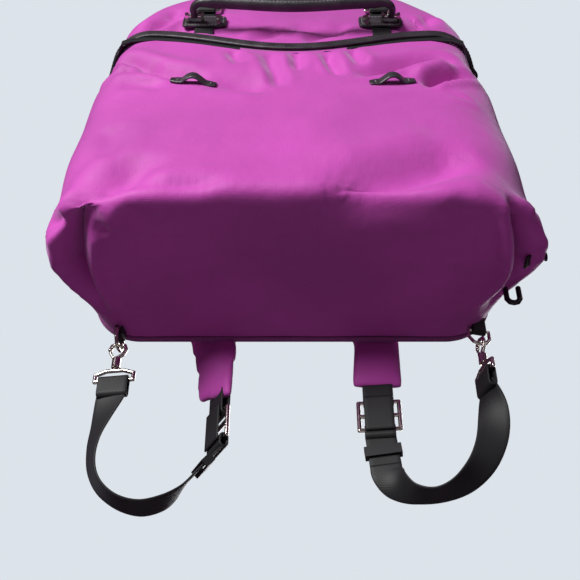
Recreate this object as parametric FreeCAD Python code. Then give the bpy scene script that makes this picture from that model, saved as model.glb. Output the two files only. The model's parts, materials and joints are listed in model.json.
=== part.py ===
"""Racket backpack with a front racket compartment, hung from its top loop.

Frame: the origin is where a wall hook holds the hang loop, +X is to the right
of a person facing the front, -Y is the front, +Z is up. Millimetres.
Heights named h are measured up from the bag's base.
"""

import FreeCAD, Part
import math
import os

from FreeCAD import Vector

# ---- driving dimensions -----------------------------------------------------
BASE_Z = -480.0          # base panel below the hang loop
SIDE_TOP_H = 262.0       # where the straight sides meet the top arch
BACK_HALF, BACK_CORNER, BACK_ARCH = 169.0, 40.0, 172.0
MID_HALF, MID_CORNER, MID_ARCH = 194.0, 30.0, 178.0
FRONT_HALF, FRONT_CORNER, FRONT_ARCH = 168.0, 14.0, 160.0
MID_Y, MID_LEAN = -95.0, 0.12        # zip plane: y at the base, and y per mm of height
FRONT_Y, FRONT_LEAN = -178.0, 0.24   # front plane, the same way
FABRIC = 3.0             # coated cloth with its thin foam and lining
PANEL_GAP = 1.0          # air between neighbouring panels
TAPE = 9.0               # each half of a zip: its tape and its teeth
TAPE_T = 1.4
ZIP_GAP = 0.7            # between the zip plane and each half
BRIDGE_TOP_H = 290.0     # top of the fixed strip between the two zips
ZIP_END_H = 20.0         # lower ends of the front compartment's zip
PULL_BAR = 3.3           # the pull's cross bar, off the tape
WEB_W, WEB_T = 25.0, 2.0             # main webbing
FRONT_WEB_W = 18.0                   # the two straps on the upper front
WIRE = 3.5               # ring and buckle wire
STRAP_OFF = 0.3          # sewn webbing's gap to the cloth
RING_HALF = 8.0          # half the height of a front ring
PAD_T, PAD_NEAR = 11.0, 1.6          # shoulder pad, and its gap to the back
PAD_TOP_H = 404.0
SIDES = (("left", -1.0), ("right", 1.0))

os.makedirs("parts", exist_ok=True)


# ---- small helpers ----------------------------------------------------------
def mid_y(h):
    return MID_Y + MID_LEAN * h


def front_y(h):
    return FRONT_Y + FRONT_LEAN * h


def save(name, *solids):
    shape = solids[0] if len(solids) == 1 else Part.makeCompound(list(solids))
    shape.exportStep("parts/" + name + ".step")


def box(x0, x1, y0, y1, h0, h1):
    corner = Vector(x0, y0, BASE_Z + h0)
    return Part.makeBox(x1 - x0, y1 - y0, h1 - h0, corner)


def mirrored(shape):
    return shape.mirror(Vector(0, 0, 0), Vector(1, 0, 0))


def on_side(shape, sign):
    """A shape drawn on the right, moved to the side with this sign."""
    return shape if sign > 0 else mirrored(shape)


def rod(start, end, radius):
    along = end - start
    return Part.makeCylinder(radius, along.Length, start, along)


def rounded_bar(points, radius):
    """A round wire through the points, with a ball at each bend."""
    pieces = [rod(a, b, radius) for a, b in zip(points, points[1:])]
    pieces += [Part.makeSphere(radius, p) for p in points]
    return pieces[0].multiFuse(pieces[1:]).removeSplitter()


# ---- the bag's body ---------------------------------------------------------
def outline(half, corner, arch, inset, plane):
    """Closed wire: base, two round corners, two sides and the top arch."""
    b, r, a = half - inset, max(corner - inset, 1.0), arch - inset
    low, top = inset, SIDE_TOP_H
    c = r * math.sqrt(0.5)

    def point(x, h):
        return Vector(x, plane(h), BASE_Z + h)

    start, end = point(-b + r, low), point(b - r, low)
    right, left = point(b, low + r), point(-b, low + r)
    arch_right, arch_left = point(a, top), point(-a, top)
    edges = [
        Part.LineSegment(start, end),
        Part.Arc(end, point(b - r + c, low + r - c), right),
        Part.LineSegment(right, arch_right),
        Part.Arc(arch_right, point(0, top + a), arch_left),
        Part.LineSegment(arch_left, left),
        Part.Arc(left, point(-b + r - c, low + r - c), start),
    ]
    return Part.Wire([e.toShape() for e in edges])


def body(inset, ends=0.0):
    """The bag's outer form, drawn in by inset all round and by ends at back and front."""
    back = outline(BACK_HALF, BACK_CORNER, BACK_ARCH, inset, lambda h: -ends)
    mid = outline(MID_HALF, MID_CORNER, MID_ARCH, inset, mid_y)
    front = outline(FRONT_HALF, FRONT_CORNER, FRONT_ARCH, inset, lambda h: front_y(h) + ends)
    rear_half = Part.makeLoft([back, mid], True, True)
    front_half = Part.makeLoft([mid, front], True, True)
    return rear_half.fuse(front_half)


def plane_slab(plane, y_from, y_to):
    """Everything between two copies of a leaning plane, y_from and y_to from it."""
    low, high, wide = -60.0, 520.0, 300.0
    corners = [(y_from, low), (y_to, low), (y_to, high), (y_from, high)]
    points = [Vector(-wide, plane(h) + dy, BASE_Z + h) for dy, h in corners]
    face = Part.Face(Part.makePolygon(points + points[:1]))
    return face.extrude(Vector(2 * wide, 0, 0))


def band_height(x):
    """Lower edge of the leather band: it sags in the middle and drops at the sides."""
    peak_x, peak_h, middle_h, side_h = 138.0, 274.0, 243.0, 236.0
    if abs(x) < peak_x:
        return middle_h + (peak_h - middle_h) * (1 - math.cos(math.pi * x / peak_x)) / 2
    run = min((abs(x) - peak_x) / 62.0, 1.0)
    return peak_h + (side_h - peak_h) * (1 - math.cos(math.pi * run)) / 2


def band_slab(drop, rise, y_back, y_front):
    """The space from drop below to rise above the band's lower edge, right across."""
    wide, steps = 215.0, 20
    xs = [-wide + 2 * wide * i / steps for i in range(steps + 1)]
    lower = [Vector(x, y_front, BASE_Z + band_height(x) - drop) for x in xs]
    upper = [Vector(x, y_front, BASE_Z + band_height(x) + rise) for x in reversed(xs)]
    face = Part.Face(Part.makePolygon(lower + upper + lower[:1]))
    return face.extrude(Vector(0, y_back - y_front, 0))


FORM = body(0.0)
SHELL = FORM.cut(body(FABRIC, FABRIC))
TAPE_SHELL = FORM.cut(body(TAPE_T, TAPE_T))
REAR_SPACE = plane_slab(mid_y, TAPE + ZIP_GAP + PANEL_GAP / 2, 250.0)
FRONT_SPACE = plane_slab(mid_y, -TAPE - ZIP_GAP - PANEL_GAP / 2, -250.0)
REAR_TAPE_SPACE = plane_slab(mid_y, ZIP_GAP, TAPE + ZIP_GAP)
FRONT_TAPE_SPACE = plane_slab(mid_y, -ZIP_GAP, -TAPE - ZIP_GAP)
BELOW_BAND = band_slab(400.0, -TAPE / 2 - ZIP_GAP - PANEL_GAP, -40.0, -230.0)


def back_parts():
    back_t, foam_t, board_t = 2.5, 8.0, 1.5
    rim = 5.0
    board_y = -back_t - foam_t - 1.0
    inner = body(rim)
    save("back_panel", FORM.common(box(-250, 250, -back_t, 0, -10, 460)))
    save("back_foam", inner.common(box(-250, 250, -back_t - foam_t - 0.5, -back_t - 0.5, -10, 460)))
    save("frame_sheet", body(rim + 8).common(box(-250, 250, board_y - board_t, board_y, -10, 460)))
    grown = body(-2.0)
    binding = grown.cut(FORM).common(box(-250, 250, -6, -0.2, -10, 460))
    save("back_binding", binding)
    rear = SHELL.common(REAR_SPACE).cut(box(-250, 250, -FABRIC - 0.2, 10, -10, 460))
    floor_cut = box(-128, 128, -200, -6.5, -5, 20)
    save("rear_gusset", rear.cut(floor_cut))
    # a plane cut gives the base one true flat face to stand on, clear of the binding
    save("base_panel", rear.common(box(-127.5, 127.5, -200, -7, 0.02, 20)))
    save("base_board", box(-120, 120, mid_y(0) + 16, board_y - board_t - 1, FABRIC + 0.3, FABRIC + 2.3))


def zip_parts():
    above = box(-250, 250, -250, 50, BRIDGE_TOP_H + 2, 460)
    side_run = box(-250, 250, -250, 50, ZIP_END_H, 236)
    rear = TAPE_SHELL.common(REAR_TAPE_SPACE)
    front = TAPE_SHELL.common(FRONT_TAPE_SPACE)
    save("main_zip_rear", rear.common(above))
    clear_of_slider = box(-250, 250, -250, 50, BRIDGE_TOP_H + 30, 460)
    save("main_zip_front", front.common(clear_of_slider))
    # across the front the lower zip runs just under the band
    half = TAPE / 2
    ahead = plane_slab(mid_y, -TAPE - ZIP_GAP - PANEL_GAP, -250.0)
    upper = TAPE_SHELL.common(band_slab(0.0, half, -40, -230)).common(ahead)
    lower = TAPE_SHELL.common(band_slab(half + ZIP_GAP, -ZIP_GAP, -40, -230)).common(ahead)
    save("pocket_zip_rear", *(rear.common(side_run).Solids + upper.Solids))
    save("pocket_zip_front", *(front.common(side_run).Solids + lower.Solids))
    ends = box(150, 250, mid_y(10) - 5.5, mid_y(10) + 8, ZIP_END_H - 14, ZIP_END_H - 3)
    grown = body(-1.8).cut(body(-0.2))
    tab = grown.common(ends)
    save("zip_end_tabs", tab, mirrored(tab))


def inner_panels():
    inner = body(FABRIC + 1.5)
    wall = inner.common(plane_slab(mid_y, 11.5, 13.0)).common(box(-250, 250, -250, 50, 0, 288))
    save("divider_panel", wall)
    shelf_back = mid_y(281) + 10.5
    shelf = inner.common(box(-250, 250, front_y(281) + 5, shelf_back, 280, 281.5))
    save("shelf_panel", shelf)


def bridge_parts():
    """The fixed strip between the zips, and the leather band along its lower edge."""
    strip = SHELL.common(plane_slab(mid_y, TAPE + ZIP_GAP, -250.0))
    strip = strip.cut(REAR_SPACE)
    strip = strip.cut(band_slab(300.0, TAPE / 2 + PANEL_GAP, 50, -250))
    strip = strip.cut(box(-250, 250, -250, 50, BRIDGE_TOP_H, 460))
    save("front_bridge", *strip.Solids)
    thick, tall = 3.0, 11.0
    skin = body(-thick, -thick).cut(body(-0.3, -0.3)).common(plane_slab(mid_y, -4.0, -250.0))
    band = skin.common(band_slab(-1.0, tall, 50, -250))
    save("leather_band", *band.Solids)


def pocket_parts():
    """The racket compartment's front panel, side walls and front half of the base."""
    shell = SHELL.common(FRONT_SPACE).common(BELOW_BAND)
    face_slab = plane_slab(front_y, FABRIC + 0.2, -20.0)
    seam = plane_slab(front_y, FABRIC + 0.2 + PANEL_GAP, 300.0)
    save("front_panel", shell.common(face_slab))
    behind = shell.common(seam)
    floor_half, floor_h = 165.0, 10.0
    save("pocket_base", behind.common(box(-floor_half, floor_half, -250, 50, -5, floor_h)))
    side = behind.cut(box(-floor_half - PANEL_GAP, floor_half + PANEL_GAP, -250, 50, -5, floor_h))
    for name, sign in SIDES:
        low, high = (0, 250) if sign > 0 else (-250, 0)
        save("pocket_side_" + name, side.common(box(low, high, -250, 50, -5, 400)))


def lash_tab(sign):
    """A leather loop sewn flat at both ends and arched off the panel between them."""
    length, wide, thick, lift, foot = 36.0, 9.0, 2.2, 9.0, 8.0
    half = length / 2
    inner = [(-half + foot, 0), (-half + foot + 4, lift), (half - foot - 4, lift), (half - foot, 0)]
    outer = [(half, 0), (half, thick), (half - foot + 1, thick)]
    outer += [(half - foot - 3, lift + thick), (-half + foot + 3, lift + thick)]
    outer += [(-half + foot - 1, thick), (-half, thick), (-half, 0)]
    h = 176.0
    y = front_y(h) - 0.3
    points = [Vector(x + sign * 86, y - out, BASE_Z + h - wide / 2) for x, out in inner + outer]
    loop = Part.Face(Part.makePolygon(points + points[:1])).extrude(Vector(0, 0, wide))
    lean = math.degrees(math.atan(FRONT_LEAN))
    outer_end_up = 9.0
    loop.rotate(Vector(sign * 86, y, BASE_Z + h), Vector(0, 1, 0), -sign * outer_end_up)
    loop.rotate(Vector(0, y, BASE_Z + h), Vector(1, 0, 0), -lean)
    return loop


def top_parts():
    """The upper front, which opens forward on the top zip, and what is sewn to it."""
    above = box(-250, 250, -250, 50, BRIDGE_TOP_H + 2, 460)
    shell = SHELL.common(FRONT_SPACE).common(above)
    save("top_front_panel", shell.common(plane_slab(front_y, FABRIC + 0.2, -20.0)))
    seam = plane_slab(front_y, FABRIC + 0.2 + PANEL_GAP, 300.0)
    save("top_gusset", *shell.common(seam).Solids)
    ring_h, strap_x = 340.0, 85.0
    low_bar, high_bar = ring_h - RING_HALF, ring_h + RING_HALF
    rings, uppers, patches, rivets = [], [], [], []
    for name, sign in SIDES:
        x = sign * strap_x
        save("front_strap_" + name, folded_strap(x, BRIDGE_TOP_H + 4, low_bar, low_bar))
        rings.append(front_ring(x, ring_h))
        uppers.append(folded_strap(x, high_bar, 405.0, high_bar))
        patches.append(leaning_plate(x, 42.0, 293.0, 316.0, WEB_T + 0.6, 2.4))
        rivets += [front_stud(sign * 71, h) for h in (298.0, 310.0)]
    save("rectangle_rings", *rings)
    save("upper_straps", *uppers)
    save("handle_patches", *patches)
    save("handle_rivets", *rivets)


def leaning_plate(x, width, h0, h1, off, thick):
    """A flat strip on the front plane, off it by off."""
    slab = plane_slab(front_y, -off, -off - thick)
    return slab.common(box(x - width / 2, x + width / 2, -300, 50, h0, h1))


def folded_strap(x, h0, h1, bar_h):
    """A strip of webbing on the front, folded forward round a ring bar at bar_h."""
    strip = leaning_plate(x, FRONT_WEB_W, h0, h1, STRAP_OFF, WEB_T)
    centre = Vector(x - FRONT_WEB_W / 2, ring_y(bar_h), BASE_Z + bar_h)
    inner_r = WIRE / 2 + 0.4
    outer = Part.makeCylinder(inner_r + WEB_T, FRONT_WEB_W, centre, Vector(1, 0, 0))
    inner = Part.makeCylinder(inner_r, FRONT_WEB_W, centre, Vector(1, 0, 0))
    return strip.fuse(outer).cut(inner).cut(plane_slab(front_y, -STRAP_OFF, 40.0))


def ring_y(h):
    """The rings lie just in front of the webbing that carries them."""
    return front_y(h) - STRAP_OFF - WEB_T - WIRE / 2 - 0.4


def front_ring(x, h):
    """A rectangular wire ring whose two bars lie in the folded strap ends."""
    half_w = FRONT_WEB_W / 2 + 4
    corners = [(-half_w, -RING_HALF), (half_w, -RING_HALF), (half_w, RING_HALF), (-half_w, RING_HALF)]
    points = [Vector(x + dx, ring_y(h + dh), BASE_Z + h + dh) for dx, dh in corners]
    return rounded_bar(points + points[:1], WIRE / 2)


def front_stud(x, h):
    y = front_y(h) - 5.9
    return Part.makeCylinder(3.0, 1.6, Vector(x, y - 1.6, BASE_Z + h), Vector(0, 1, 0))


def handle_parts():
    """A padded leather grip between two eyes that turn on the patches."""
    h, stand_off, reach = 302.0, 20.0, 88.0
    y_pivot = front_y(h) - 11.5
    y_grip = y_pivot - stand_off
    z = BASE_Z + h
    ends = []
    for sign in (-1, 1):
        eye_x = sign * (reach + 6)
        eye = Part.makeCylinder(5.0, 10.0, Vector(eye_x - 5, y_pivot, z), Vector(1, 0, 0))
        bore = Part.makeCylinder(2.1, 12.0, Vector(eye_x - 6, y_pivot, z), Vector(1, 0, 0))
        arm = Part.makeBox(10.0, stand_off, 6.0, Vector(eye_x - 5, y_grip, z - 3))
        ends.append(eye.fuse(arm).cut(bore))
    half = reach + 8
    bar = Part.makeCylinder(6.5, 2 * half, Vector(-half, y_grip, z), Vector(1, 0, 0))
    core = Part.makeCylinder(3.0, 2 * reach - 20, Vector(-reach + 10, y_grip, z), Vector(1, 0, 0))
    save("handle_grip", bar.cut(core).fuse(ends[0]).fuse(ends[1]))
    save("handle_core", core)
    pins = []
    y_face = front_y(h) - 5.9
    cheek_t, cheek_tall, past = 3.0, 5.0, 2.5
    for sign in (-1, 1):
        pin_x = sign * (reach + 6)
        pin = Part.makeCylinder(2.0, 18.0, Vector(pin_x - 9, y_pivot, z), Vector(1, 0, 0))
        for cheek in (-1, 1):
            corner = Vector(pin_x + cheek * 7.5 - cheek_t / 2, y_pivot - past, z - cheek_tall / 2)
            pin = pin.fuse(Part.makeBox(cheek_t, y_face - y_pivot + past, cheek_tall, corner))
        pins.append(pin)
    save("handle_pins", *pins)


# ---- zip sliders ------------------------------------------------------------
def zip_slider():
    """Along +Z on a tape that faces +X at x = 0: two plates joined by a post, and a bridge."""
    length, wide, plate, clear = 15.0, 10.0, 1.6, 0.5
    behind = 5.6
    outer = Part.makeBox(plate, wide, length, Vector(clear, -wide / 2, -length / 2))
    inner = Part.makeBox(plate, wide, length, Vector(-behind - plate, -wide / 2, -length / 2))
    post = Part.makeBox(behind + 1.0, 0.8, 3.0, Vector(-behind - 0.2, -0.4, length / 2 - 3))
    stops = [Vector(1.5, 0, -4), Vector(PULL_BAR + 1.6, 0, -3), Vector(PULL_BAR + 1.6, 0, 3), Vector(1.5, 0, 4)]
    return outer.multiFuse([inner, post, rounded_bar(stops, 0.7)])


def zip_pull():
    """A flat tab that hangs from a cross bar under the slider's bridge, at x = PULL_BAR, z = 0."""
    drop, half, bar_r, thick = 24.0, 3.2, 0.6, 1.2
    near = PULL_BAR - thick / 2
    bar = rod(Vector(PULL_BAR, -half, 0), Vector(PULL_BAR, half, 0), bar_r)
    cheeks = [Part.makeBox(thick, 1.0, 6.6, Vector(near, y, -6.0)) for y in (-half - 0.2, half - 0.8)]
    tab = Part.makeBox(thick, 2 * half + 0.4, drop - 5.6, Vector(near, -half - 0.2, -drop))
    tip = Part.makeCylinder(half + 0.2, thick, Vector(near, 0, -drop), Vector(1, 0, 0))
    return bar.multiFuse(cheeks + [tab, tip])


def place(shape, at, turn_x=0.0, turn_y=0.0, turn_z=0.0):
    """Turns a shape about its own origin, X then Y then Z, and moves it."""
    rotation = FreeCAD.Rotation(Vector(0, 0, 1), turn_z)
    rotation = rotation.multiply(FreeCAD.Rotation(Vector(0, 1, 0), turn_y))
    rotation = rotation.multiply(FreeCAD.Rotation(Vector(1, 0, 0), turn_x))
    moved = shape.copy()
    moved.Placement = FreeCAD.Placement(at, rotation).multiply(shape.Placement)
    return moved


def side_x(h):
    """Half-width of the zip plane's outline on its straight side."""
    low = MID_CORNER
    return MID_HALF + (MID_ARCH - MID_HALF) * (h - low) / (SIDE_TOP_H - low)


def slider_parts():
    lean_x = math.degrees(math.atan(MID_LEAN))
    taper = math.degrees(math.atan((MID_HALF - MID_ARCH) / (SIDE_TOP_H - MID_CORNER)))
    h = ZIP_END_H + 14.0
    at = Vector(side_x(h) + 0.4, mid_y(h), BASE_Z + h)
    save("pocket_slider", place(zip_slider(), at, -lean_x, -taper))
    save("pocket_pull", place(zip_pull(), at, -lean_x, -taper))
    # the top zip's slider rests just above the right end of its run
    angle = 14.0
    stretch = math.sqrt(1 + MID_LEAN ** 2)
    centre_up = (MID_ARCH * stretch ** 2 - MID_ARCH) / (2 * stretch)
    x = MID_ARCH * math.cos(math.radians(angle))
    up = centre_up + MID_ARCH * math.sin(math.radians(angle))
    h = SIDE_TOP_H + up / stretch
    at = Vector(x, mid_y(h), BASE_Z + h)
    save("main_slider", place(zip_slider(), at, -lean_x, -angle))
    save("main_pull", place(zip_pull(), at, -lean_x, -angle))


# ---- hang loop and back -----------------------------------------------------
def hang_loop():
    wide, thick, inner_r = 14.0, 2.0, 10.0
    leg_top = -inner_r
    bar = Part.makeCylinder(inner_r + thick, wide, Vector(0, -wide - 6, leg_top), Vector(0, 1, 0))
    hole = Part.makeCylinder(inner_r, wide, Vector(0, -wide - 6, leg_top), Vector(0, 1, 0))
    upper = bar.cut(hole).common(Part.makeBox(80, 80, 40, Vector(-40, -60, leg_top)))
    legs = []
    for sign in (-1, 1):
        x0 = sign * (inner_r + thick / 2) - thick / 2
        legs.append(Part.makeBox(thick, wide, 60.0, Vector(x0, -wide - 6, leg_top - 60.0)))
    loop = upper.fuse(legs[0]).fuse(legs[1])
    return loop.cut(FORM)


def strap_yoke():
    """A stitched patch that carries the upper ends of both shoulder pads."""
    return box(-92, 92, 0.2, 1.4, 385, 412)


# ---- shoulder straps --------------------------------------------------------
def pad_x(h):
    """Centre line of the right pad: it spreads outwards as it goes down."""
    low, high = -52.0, PAD_TOP_H
    run = (high - h) / (high - low)
    return 50.0 + 22.0 * math.sin(run * math.pi / 2)


def pad(low_h):
    """A flat padded strap, lofted between level sections."""
    levels = [low_h, 20.0, 120.0, 220.0, 320.0, PAD_TOP_H]
    wires = []
    for h in levels:
        half = 26.0 + 4.0 * min(max((h - low_h) / 200.0, 0.0), 1.0)
        y0, y1 = PAD_NEAR, PAD_NEAR + PAD_T
        x = pad_x(h)
        corners = [(x - half, y0), (x + half, y0), (x + half, y1), (x - half, y1)]
        points = [Vector(px, py, BASE_Z + h) for px, py in corners]
        wires.append(Part.makePolygon(points + points[:1]))
    return Part.makeLoft(wires, True, True)


def rectangle(centre, across, normal, width, thick):
    u, v = across * (width / 2), normal * (thick / 2)
    points = [centre - u - v, centre + u - v, centre + u + v, centre - u + v]
    return Part.makePolygon(points + points[:1])


def ribbon(stations, width=WEB_W, thick=WEB_T):
    """Webbing through stations of (x, y, h, turn): turn is the width's angle from X towards -Y."""
    centres = [Vector(x, y, BASE_Z + h) for x, y, h, _ in stations]
    wires = []
    for i, (_, _, _, turn) in enumerate(stations):
        along = centres[min(i + 1, len(centres) - 1)] - centres[max(i - 1, 0)]
        along.normalize()
        a = math.radians(turn)
        across = Vector(math.cos(a), -math.sin(a), 0)
        across = across - along * across.dot(along)
        across.normalize()
        wires.append(rectangle(centres[i], across, along.cross(across), width, thick))
    return Part.makeLoft(wires, True, True)


def bar_loop(x, y, h, turn, below=0.0, above=0.0):
    """Webbing folded round a bar at (x, y, h): a flat closed ring, open along the bar."""
    inner_r = WIRE / 2 + 0.5

    def slot(r):
        edges = [
            Part.Arc(Vector(0, -r, above), Vector(0, 0, above + r), Vector(0, r, above)),
            Part.LineSegment(Vector(0, r, above), Vector(0, r, -below)),
            Part.Arc(Vector(0, r, -below), Vector(0, 0, -below - r), Vector(0, -r, -below)),
            Part.LineSegment(Vector(0, -r, -below), Vector(0, -r, above)),
        ]
        return Part.Face(Part.Wire([e.toShape() for e in edges])).extrude(Vector(WEB_W, 0, 0))

    ring = slot(inner_r + WEB_T).cut(slot(inner_r))
    ring.translate(Vector(-WEB_W / 2, 0, 0))
    return place(ring, Vector(x, y, BASE_Z + h), turn_z=-turn)


def wire_frame(x, y, h, turn, width, height, bar_at=None):
    """A rectangular wire frame hanging below its top bar, with an optional middle bar."""
    half = width / 2
    corners = [(-half, 0), (half, 0), (half, -height), (-half, -height)]
    points = [Vector(a, 0, b) for a, b in corners]
    frame = rounded_bar(points + points[:1], WIRE / 2)
    if bar_at is not None:
        frame = frame.fuse(rod(Vector(-half, 0, -bar_at), Vector(half, 0, -bar_at), WIRE / 2))
    return place(frame, Vector(x, y, BASE_Z + h), turn_z=-turn)


STRAPS = {
    # low edge of the pad, adjuster place and turn, and the free webbing's stations
    "left": {
        "pad_low": -58.0,
        "adjuster": (-60.0, 7.0, -72.0, 62.0),
        "run": [(-60.5, 7.0, -107.0, 62.0), (-70.5, 5.5, -119.5, 62.0), (-80.5, 4.0, -132.0, 62.0)],
        "loop": [
            (-81.5, 3.8, -133.2, 63.0), (-88.0, 2.0, -145.0, 74.0), (-99.0, -1.0, -155.0, 86.0),
            (-115.0, -5.0, -161.0, 90.0), (-132.0, -9.0, -158.0, 88.0), (-146.0, -12.0, -147.0, 80.0),
            (-153.0, -14.0, -131.0, 70.0), (-154.0, -14.0, -110.0, 58.0), (-150.0, -14.0, -88.0, 40.0),
        ],
        "hook": (-145.0, -14.0, 8.0),
        "eye_h": -52.0,
    },
    "right": {
        "pad_low": -46.0,
        "adjuster": (70.0, 7.0, -59.0, 6.0),
        "run": [(70.2, 7.0, -94.0, 6.0), (71.2, 6.0, -106.5, 6.0), (72.2, 5.0, -119.0, 6.0)],
        "loop": [
            (72.3, 4.9, -120.0, 6.0), (73.2, 4.2, -127.0, 16.0), (79.0, 2.0, -138.0, 40.0),
            (91.0, -1.0, -146.0, 66.0),
            (108.0, -5.0, -149.0, 88.0), (124.0, -9.0, -144.0, 90.0), (138.0, -12.0, -130.0, 84.0),
            (149.0, -14.0, -110.0, 78.0), (155.0, -14.0, -86.0, 76.0),
        ],
        "hook": (156.0, -14.0, 76.0),
        "eye_h": -47.5,
    },
}
ADJUSTER_TALL = 26.0
BARREL_UP = 13.0         # swivel barrel above the eye's lower bar
CROOK_UP = 24.0          # top of the hook's bow above the barrel's foot
CORNER_RING_TALL = 13.5
RING_UP = BARREL_UP + CROOK_UP - 4.2   # corner ring's foot above the eye's lower bar


def strap_parts():
    fold = WIRE / 2 + 0.5 + WEB_T
    for name, sign in SIDES:
        spec = STRAPS[name]
        save("strap_pad_" + name, on_side(pad(spec["pad_low"]), sign))
        x, y, h, turn = spec["adjuster"]
        save("adjuster_" + name, wire_frame(x, y, h, turn, 33.0, ADJUSTER_TALL, 13.0))
        rise = 5.0
        tail = ribbon([(x, y, spec["pad_low"] - 0.4, turn), (x, y, h + rise + fold + 0.1, turn)])
        save("pad_tail_" + name, bar_loop(x, y, h, turn, above=rise), tail)
        low_bar = h - ADJUSTER_TALL
        start = (x, y, low_bar - 4.0 - fold - 0.1, turn)
        run = ribbon([start] + spec["run"][1:])
        save("webbing_run_" + name, bar_loop(x, y, low_bar, turn, below=4.0), run)
        save("webbing_loop_" + name, *webbing_loop(spec, fold))
        save("keeper_" + name, keeper(start, spec["run"][2]))


def webbing_loop(spec, fold):
    x, y, turn = spec["hook"]
    drop = 8.0
    ring = bar_loop(x, y, spec["eye_h"], turn, below=drop)
    foot = (x, y, spec["eye_h"] - drop - fold - 0.1, turn)
    return ribbon(spec["loop"] + [foot]), ring


def keeper(start, end):
    """A moulded slide round the webbing at the middle of its run."""
    middle = [(a + b) / 2 for a, b in zip(start, end)]
    x, y, h, turn = middle
    half, gap, wall, tall = WEB_W / 2 + 0.5, 1.8, 1.8, 9.0
    outer = Part.makeBox(2 * (half + wall), 2 * (gap + wall), tall)
    outer.translate(Vector(-half - wall, -gap - wall, -tall / 2))
    inner = Part.makeBox(2 * half, 2 * gap, tall + 2)
    inner.translate(Vector(-half, -gap, -tall / 2 - 1))
    along = Vector(start[0] - end[0], start[1] - end[1], start[2] - end[2])
    along.normalize()
    a = math.radians(turn)
    across = Vector(math.cos(a), -math.sin(a), 0)
    across = across - along * across.dot(along)
    across.normalize()
    rotation = FreeCAD.Rotation(across, along.cross(across), along, "ZXY")
    block = outer.cut(inner)
    block.Placement = FreeCAD.Placement(Vector(x, y, BASE_Z + h), rotation)
    return block


def snap_hook(spec):
    """Swivel snap: a hook body with a barrel, a sprung gate and an eye for the webbing."""
    x, y, turn = spec["hook"]
    foot = spec["eye_h"] + BARREL_UP
    barrel = Part.makeCylinder(3.6, 9.0, Vector(0, 0, foot))
    crook = [(0, 9.5), (5, 13.0), (7.0, 17.5), (5.5, 22.0), (0, CROOK_UP), (-5.0, 22.5), (-6.6, 18.5)]
    bow = rounded_bar([Vector(a, 0, foot + b) for a, b in crook], 1.7)
    hook = barrel.fuse(rod(Vector(0, 0, foot + 8.5), Vector(0, 0, foot + 10), 2.0)).fuse(bow)
    bore = Part.makeCylinder(1.9, 6.0, Vector(0, 0, foot - 1.0))
    cavity = Part.makeCylinder(2.9, 3.2, Vector(0, 0, foot + 2.5))
    hook = hook.cut(bore).cut(cavity)
    gate = rod(Vector(-6.4, 0, foot + 16.2), Vector(-3.6, 0, foot + 10.9), 1.2)
    eye = eye_frame(spec["eye_h"], foot)
    return [place(s, Vector(x, y, BASE_Z), turn_z=-turn) for s in (hook, gate, eye)]


def eye_frame(eye_h, foot):
    """The webbing eye, with a headed stem that turns inside the barrel."""
    half, top = WEB_W / 2 + 3.5, foot - 3.2
    points = [(-half, eye_h), (half, eye_h), (half, eye_h + 6.5), (7, top), (-7, top), (-half, eye_h + 6.5)]
    corners = [Vector(a, 0, b) for a, b in points]
    frame = rounded_bar(corners + corners[:1], WIRE / 2)
    stem = Part.makeCylinder(1.6, 7.5, Vector(0, 0, top))
    head = Part.makeCylinder(2.6, 1.6, Vector(0, 0, foot + 3.3))
    return frame.multiFuse([stem, head])


def corner_parts():
    """Webbing tabs at the lower back corners with the rings that the snap hooks hold."""
    tabs, rings, eyes = [], [], []
    for name, sign in SIDES:
        spec = STRAPS[name]
        hook, gate, eye = snap_hook(spec)
        save("snap_hook_" + name, hook)
        save("hook_gate_" + name, gate)
        eyes.append(eye)
        x, y, turn = spec["hook"]
        at = Vector(x, y, BASE_Z + spec["eye_h"] + RING_UP)
        rings.append(place(corner_ring(), at, turn_z=-turn - 90.0))
        tab = place(corner_tab(), at, turn_z=-turn - 90.0).cut(FORM)
        tabs.append(min(tab.Solids, key=lambda s: s.BoundBox.ZMin))
    save("corner_tabs", *tabs)
    save("corner_rings", *rings)
    save("swivel_eyes", *eyes)


def side_loop():
    """A short rubber loop sewn into the rear side wall low on the right."""
    x, y, half, top, low, r = 177.0, -61.0, 5.2, 6.0, -9.0, 2.2
    route = [(-half, top), (-half, low + 4.0), (-half * 0.6, low + 0.8), (0.0, low)]
    route += [(-a, h) for a, h in reversed(route[:-1])]
    points = [Vector(x + a, y, BASE_Z + h) for a, h in route]
    loop = rounded_bar(points, r).cut(FORM)
    return min(loop.Solids, key=lambda s: s.BoundBox.ZMin)


def corner_tab():
    """A short webbing tab folded round the ring's straight top, drawn across X."""
    half, tall = 6.0, 30.0
    loop = Part.makeCylinder(3.9, 2 * half, Vector(-half, 0, CORNER_RING_TALL), Vector(1, 0, 0))
    hole = Part.makeCylinder(1.9, 2 * half, Vector(-half, 0, CORNER_RING_TALL), Vector(1, 0, 0))
    strip = Part.makeBox(2 * half, 3.0, tall, Vector(-half, -1.5, CORNER_RING_TALL + 2.4))
    return strip.fuse(loop).cut(hole)


def corner_ring():
    """A D of wire: its round foot holds the hook, and its straight top is in the tab."""
    half, r, top = 9.0, 1.5, CORNER_RING_TALL
    arc = [(-half, top), (-half, 6.0), (-5.5, 1.5), (0.0, 0.0), (5.5, 1.5), (half, 6.0), (half, top)]
    points = [Vector(a, 0, b) for a, b in arc]
    return rounded_bar(points + points[:1], r)


back_parts()
zip_parts()
inner_panels()
bridge_parts()
pocket_parts()
for side_name, side_sign in SIDES:
    save("lash_tab_" + side_name, lash_tab(side_sign))
top_parts()
handle_parts()
slider_parts()
save("hang_loop", hang_loop())
save("strap_yoke", strap_yoke())
save("side_loop", side_loop())
strap_parts()
corner_parts()
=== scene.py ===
"""Racket backpack: cloth, leather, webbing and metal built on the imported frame."""

import json
import math

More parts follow.
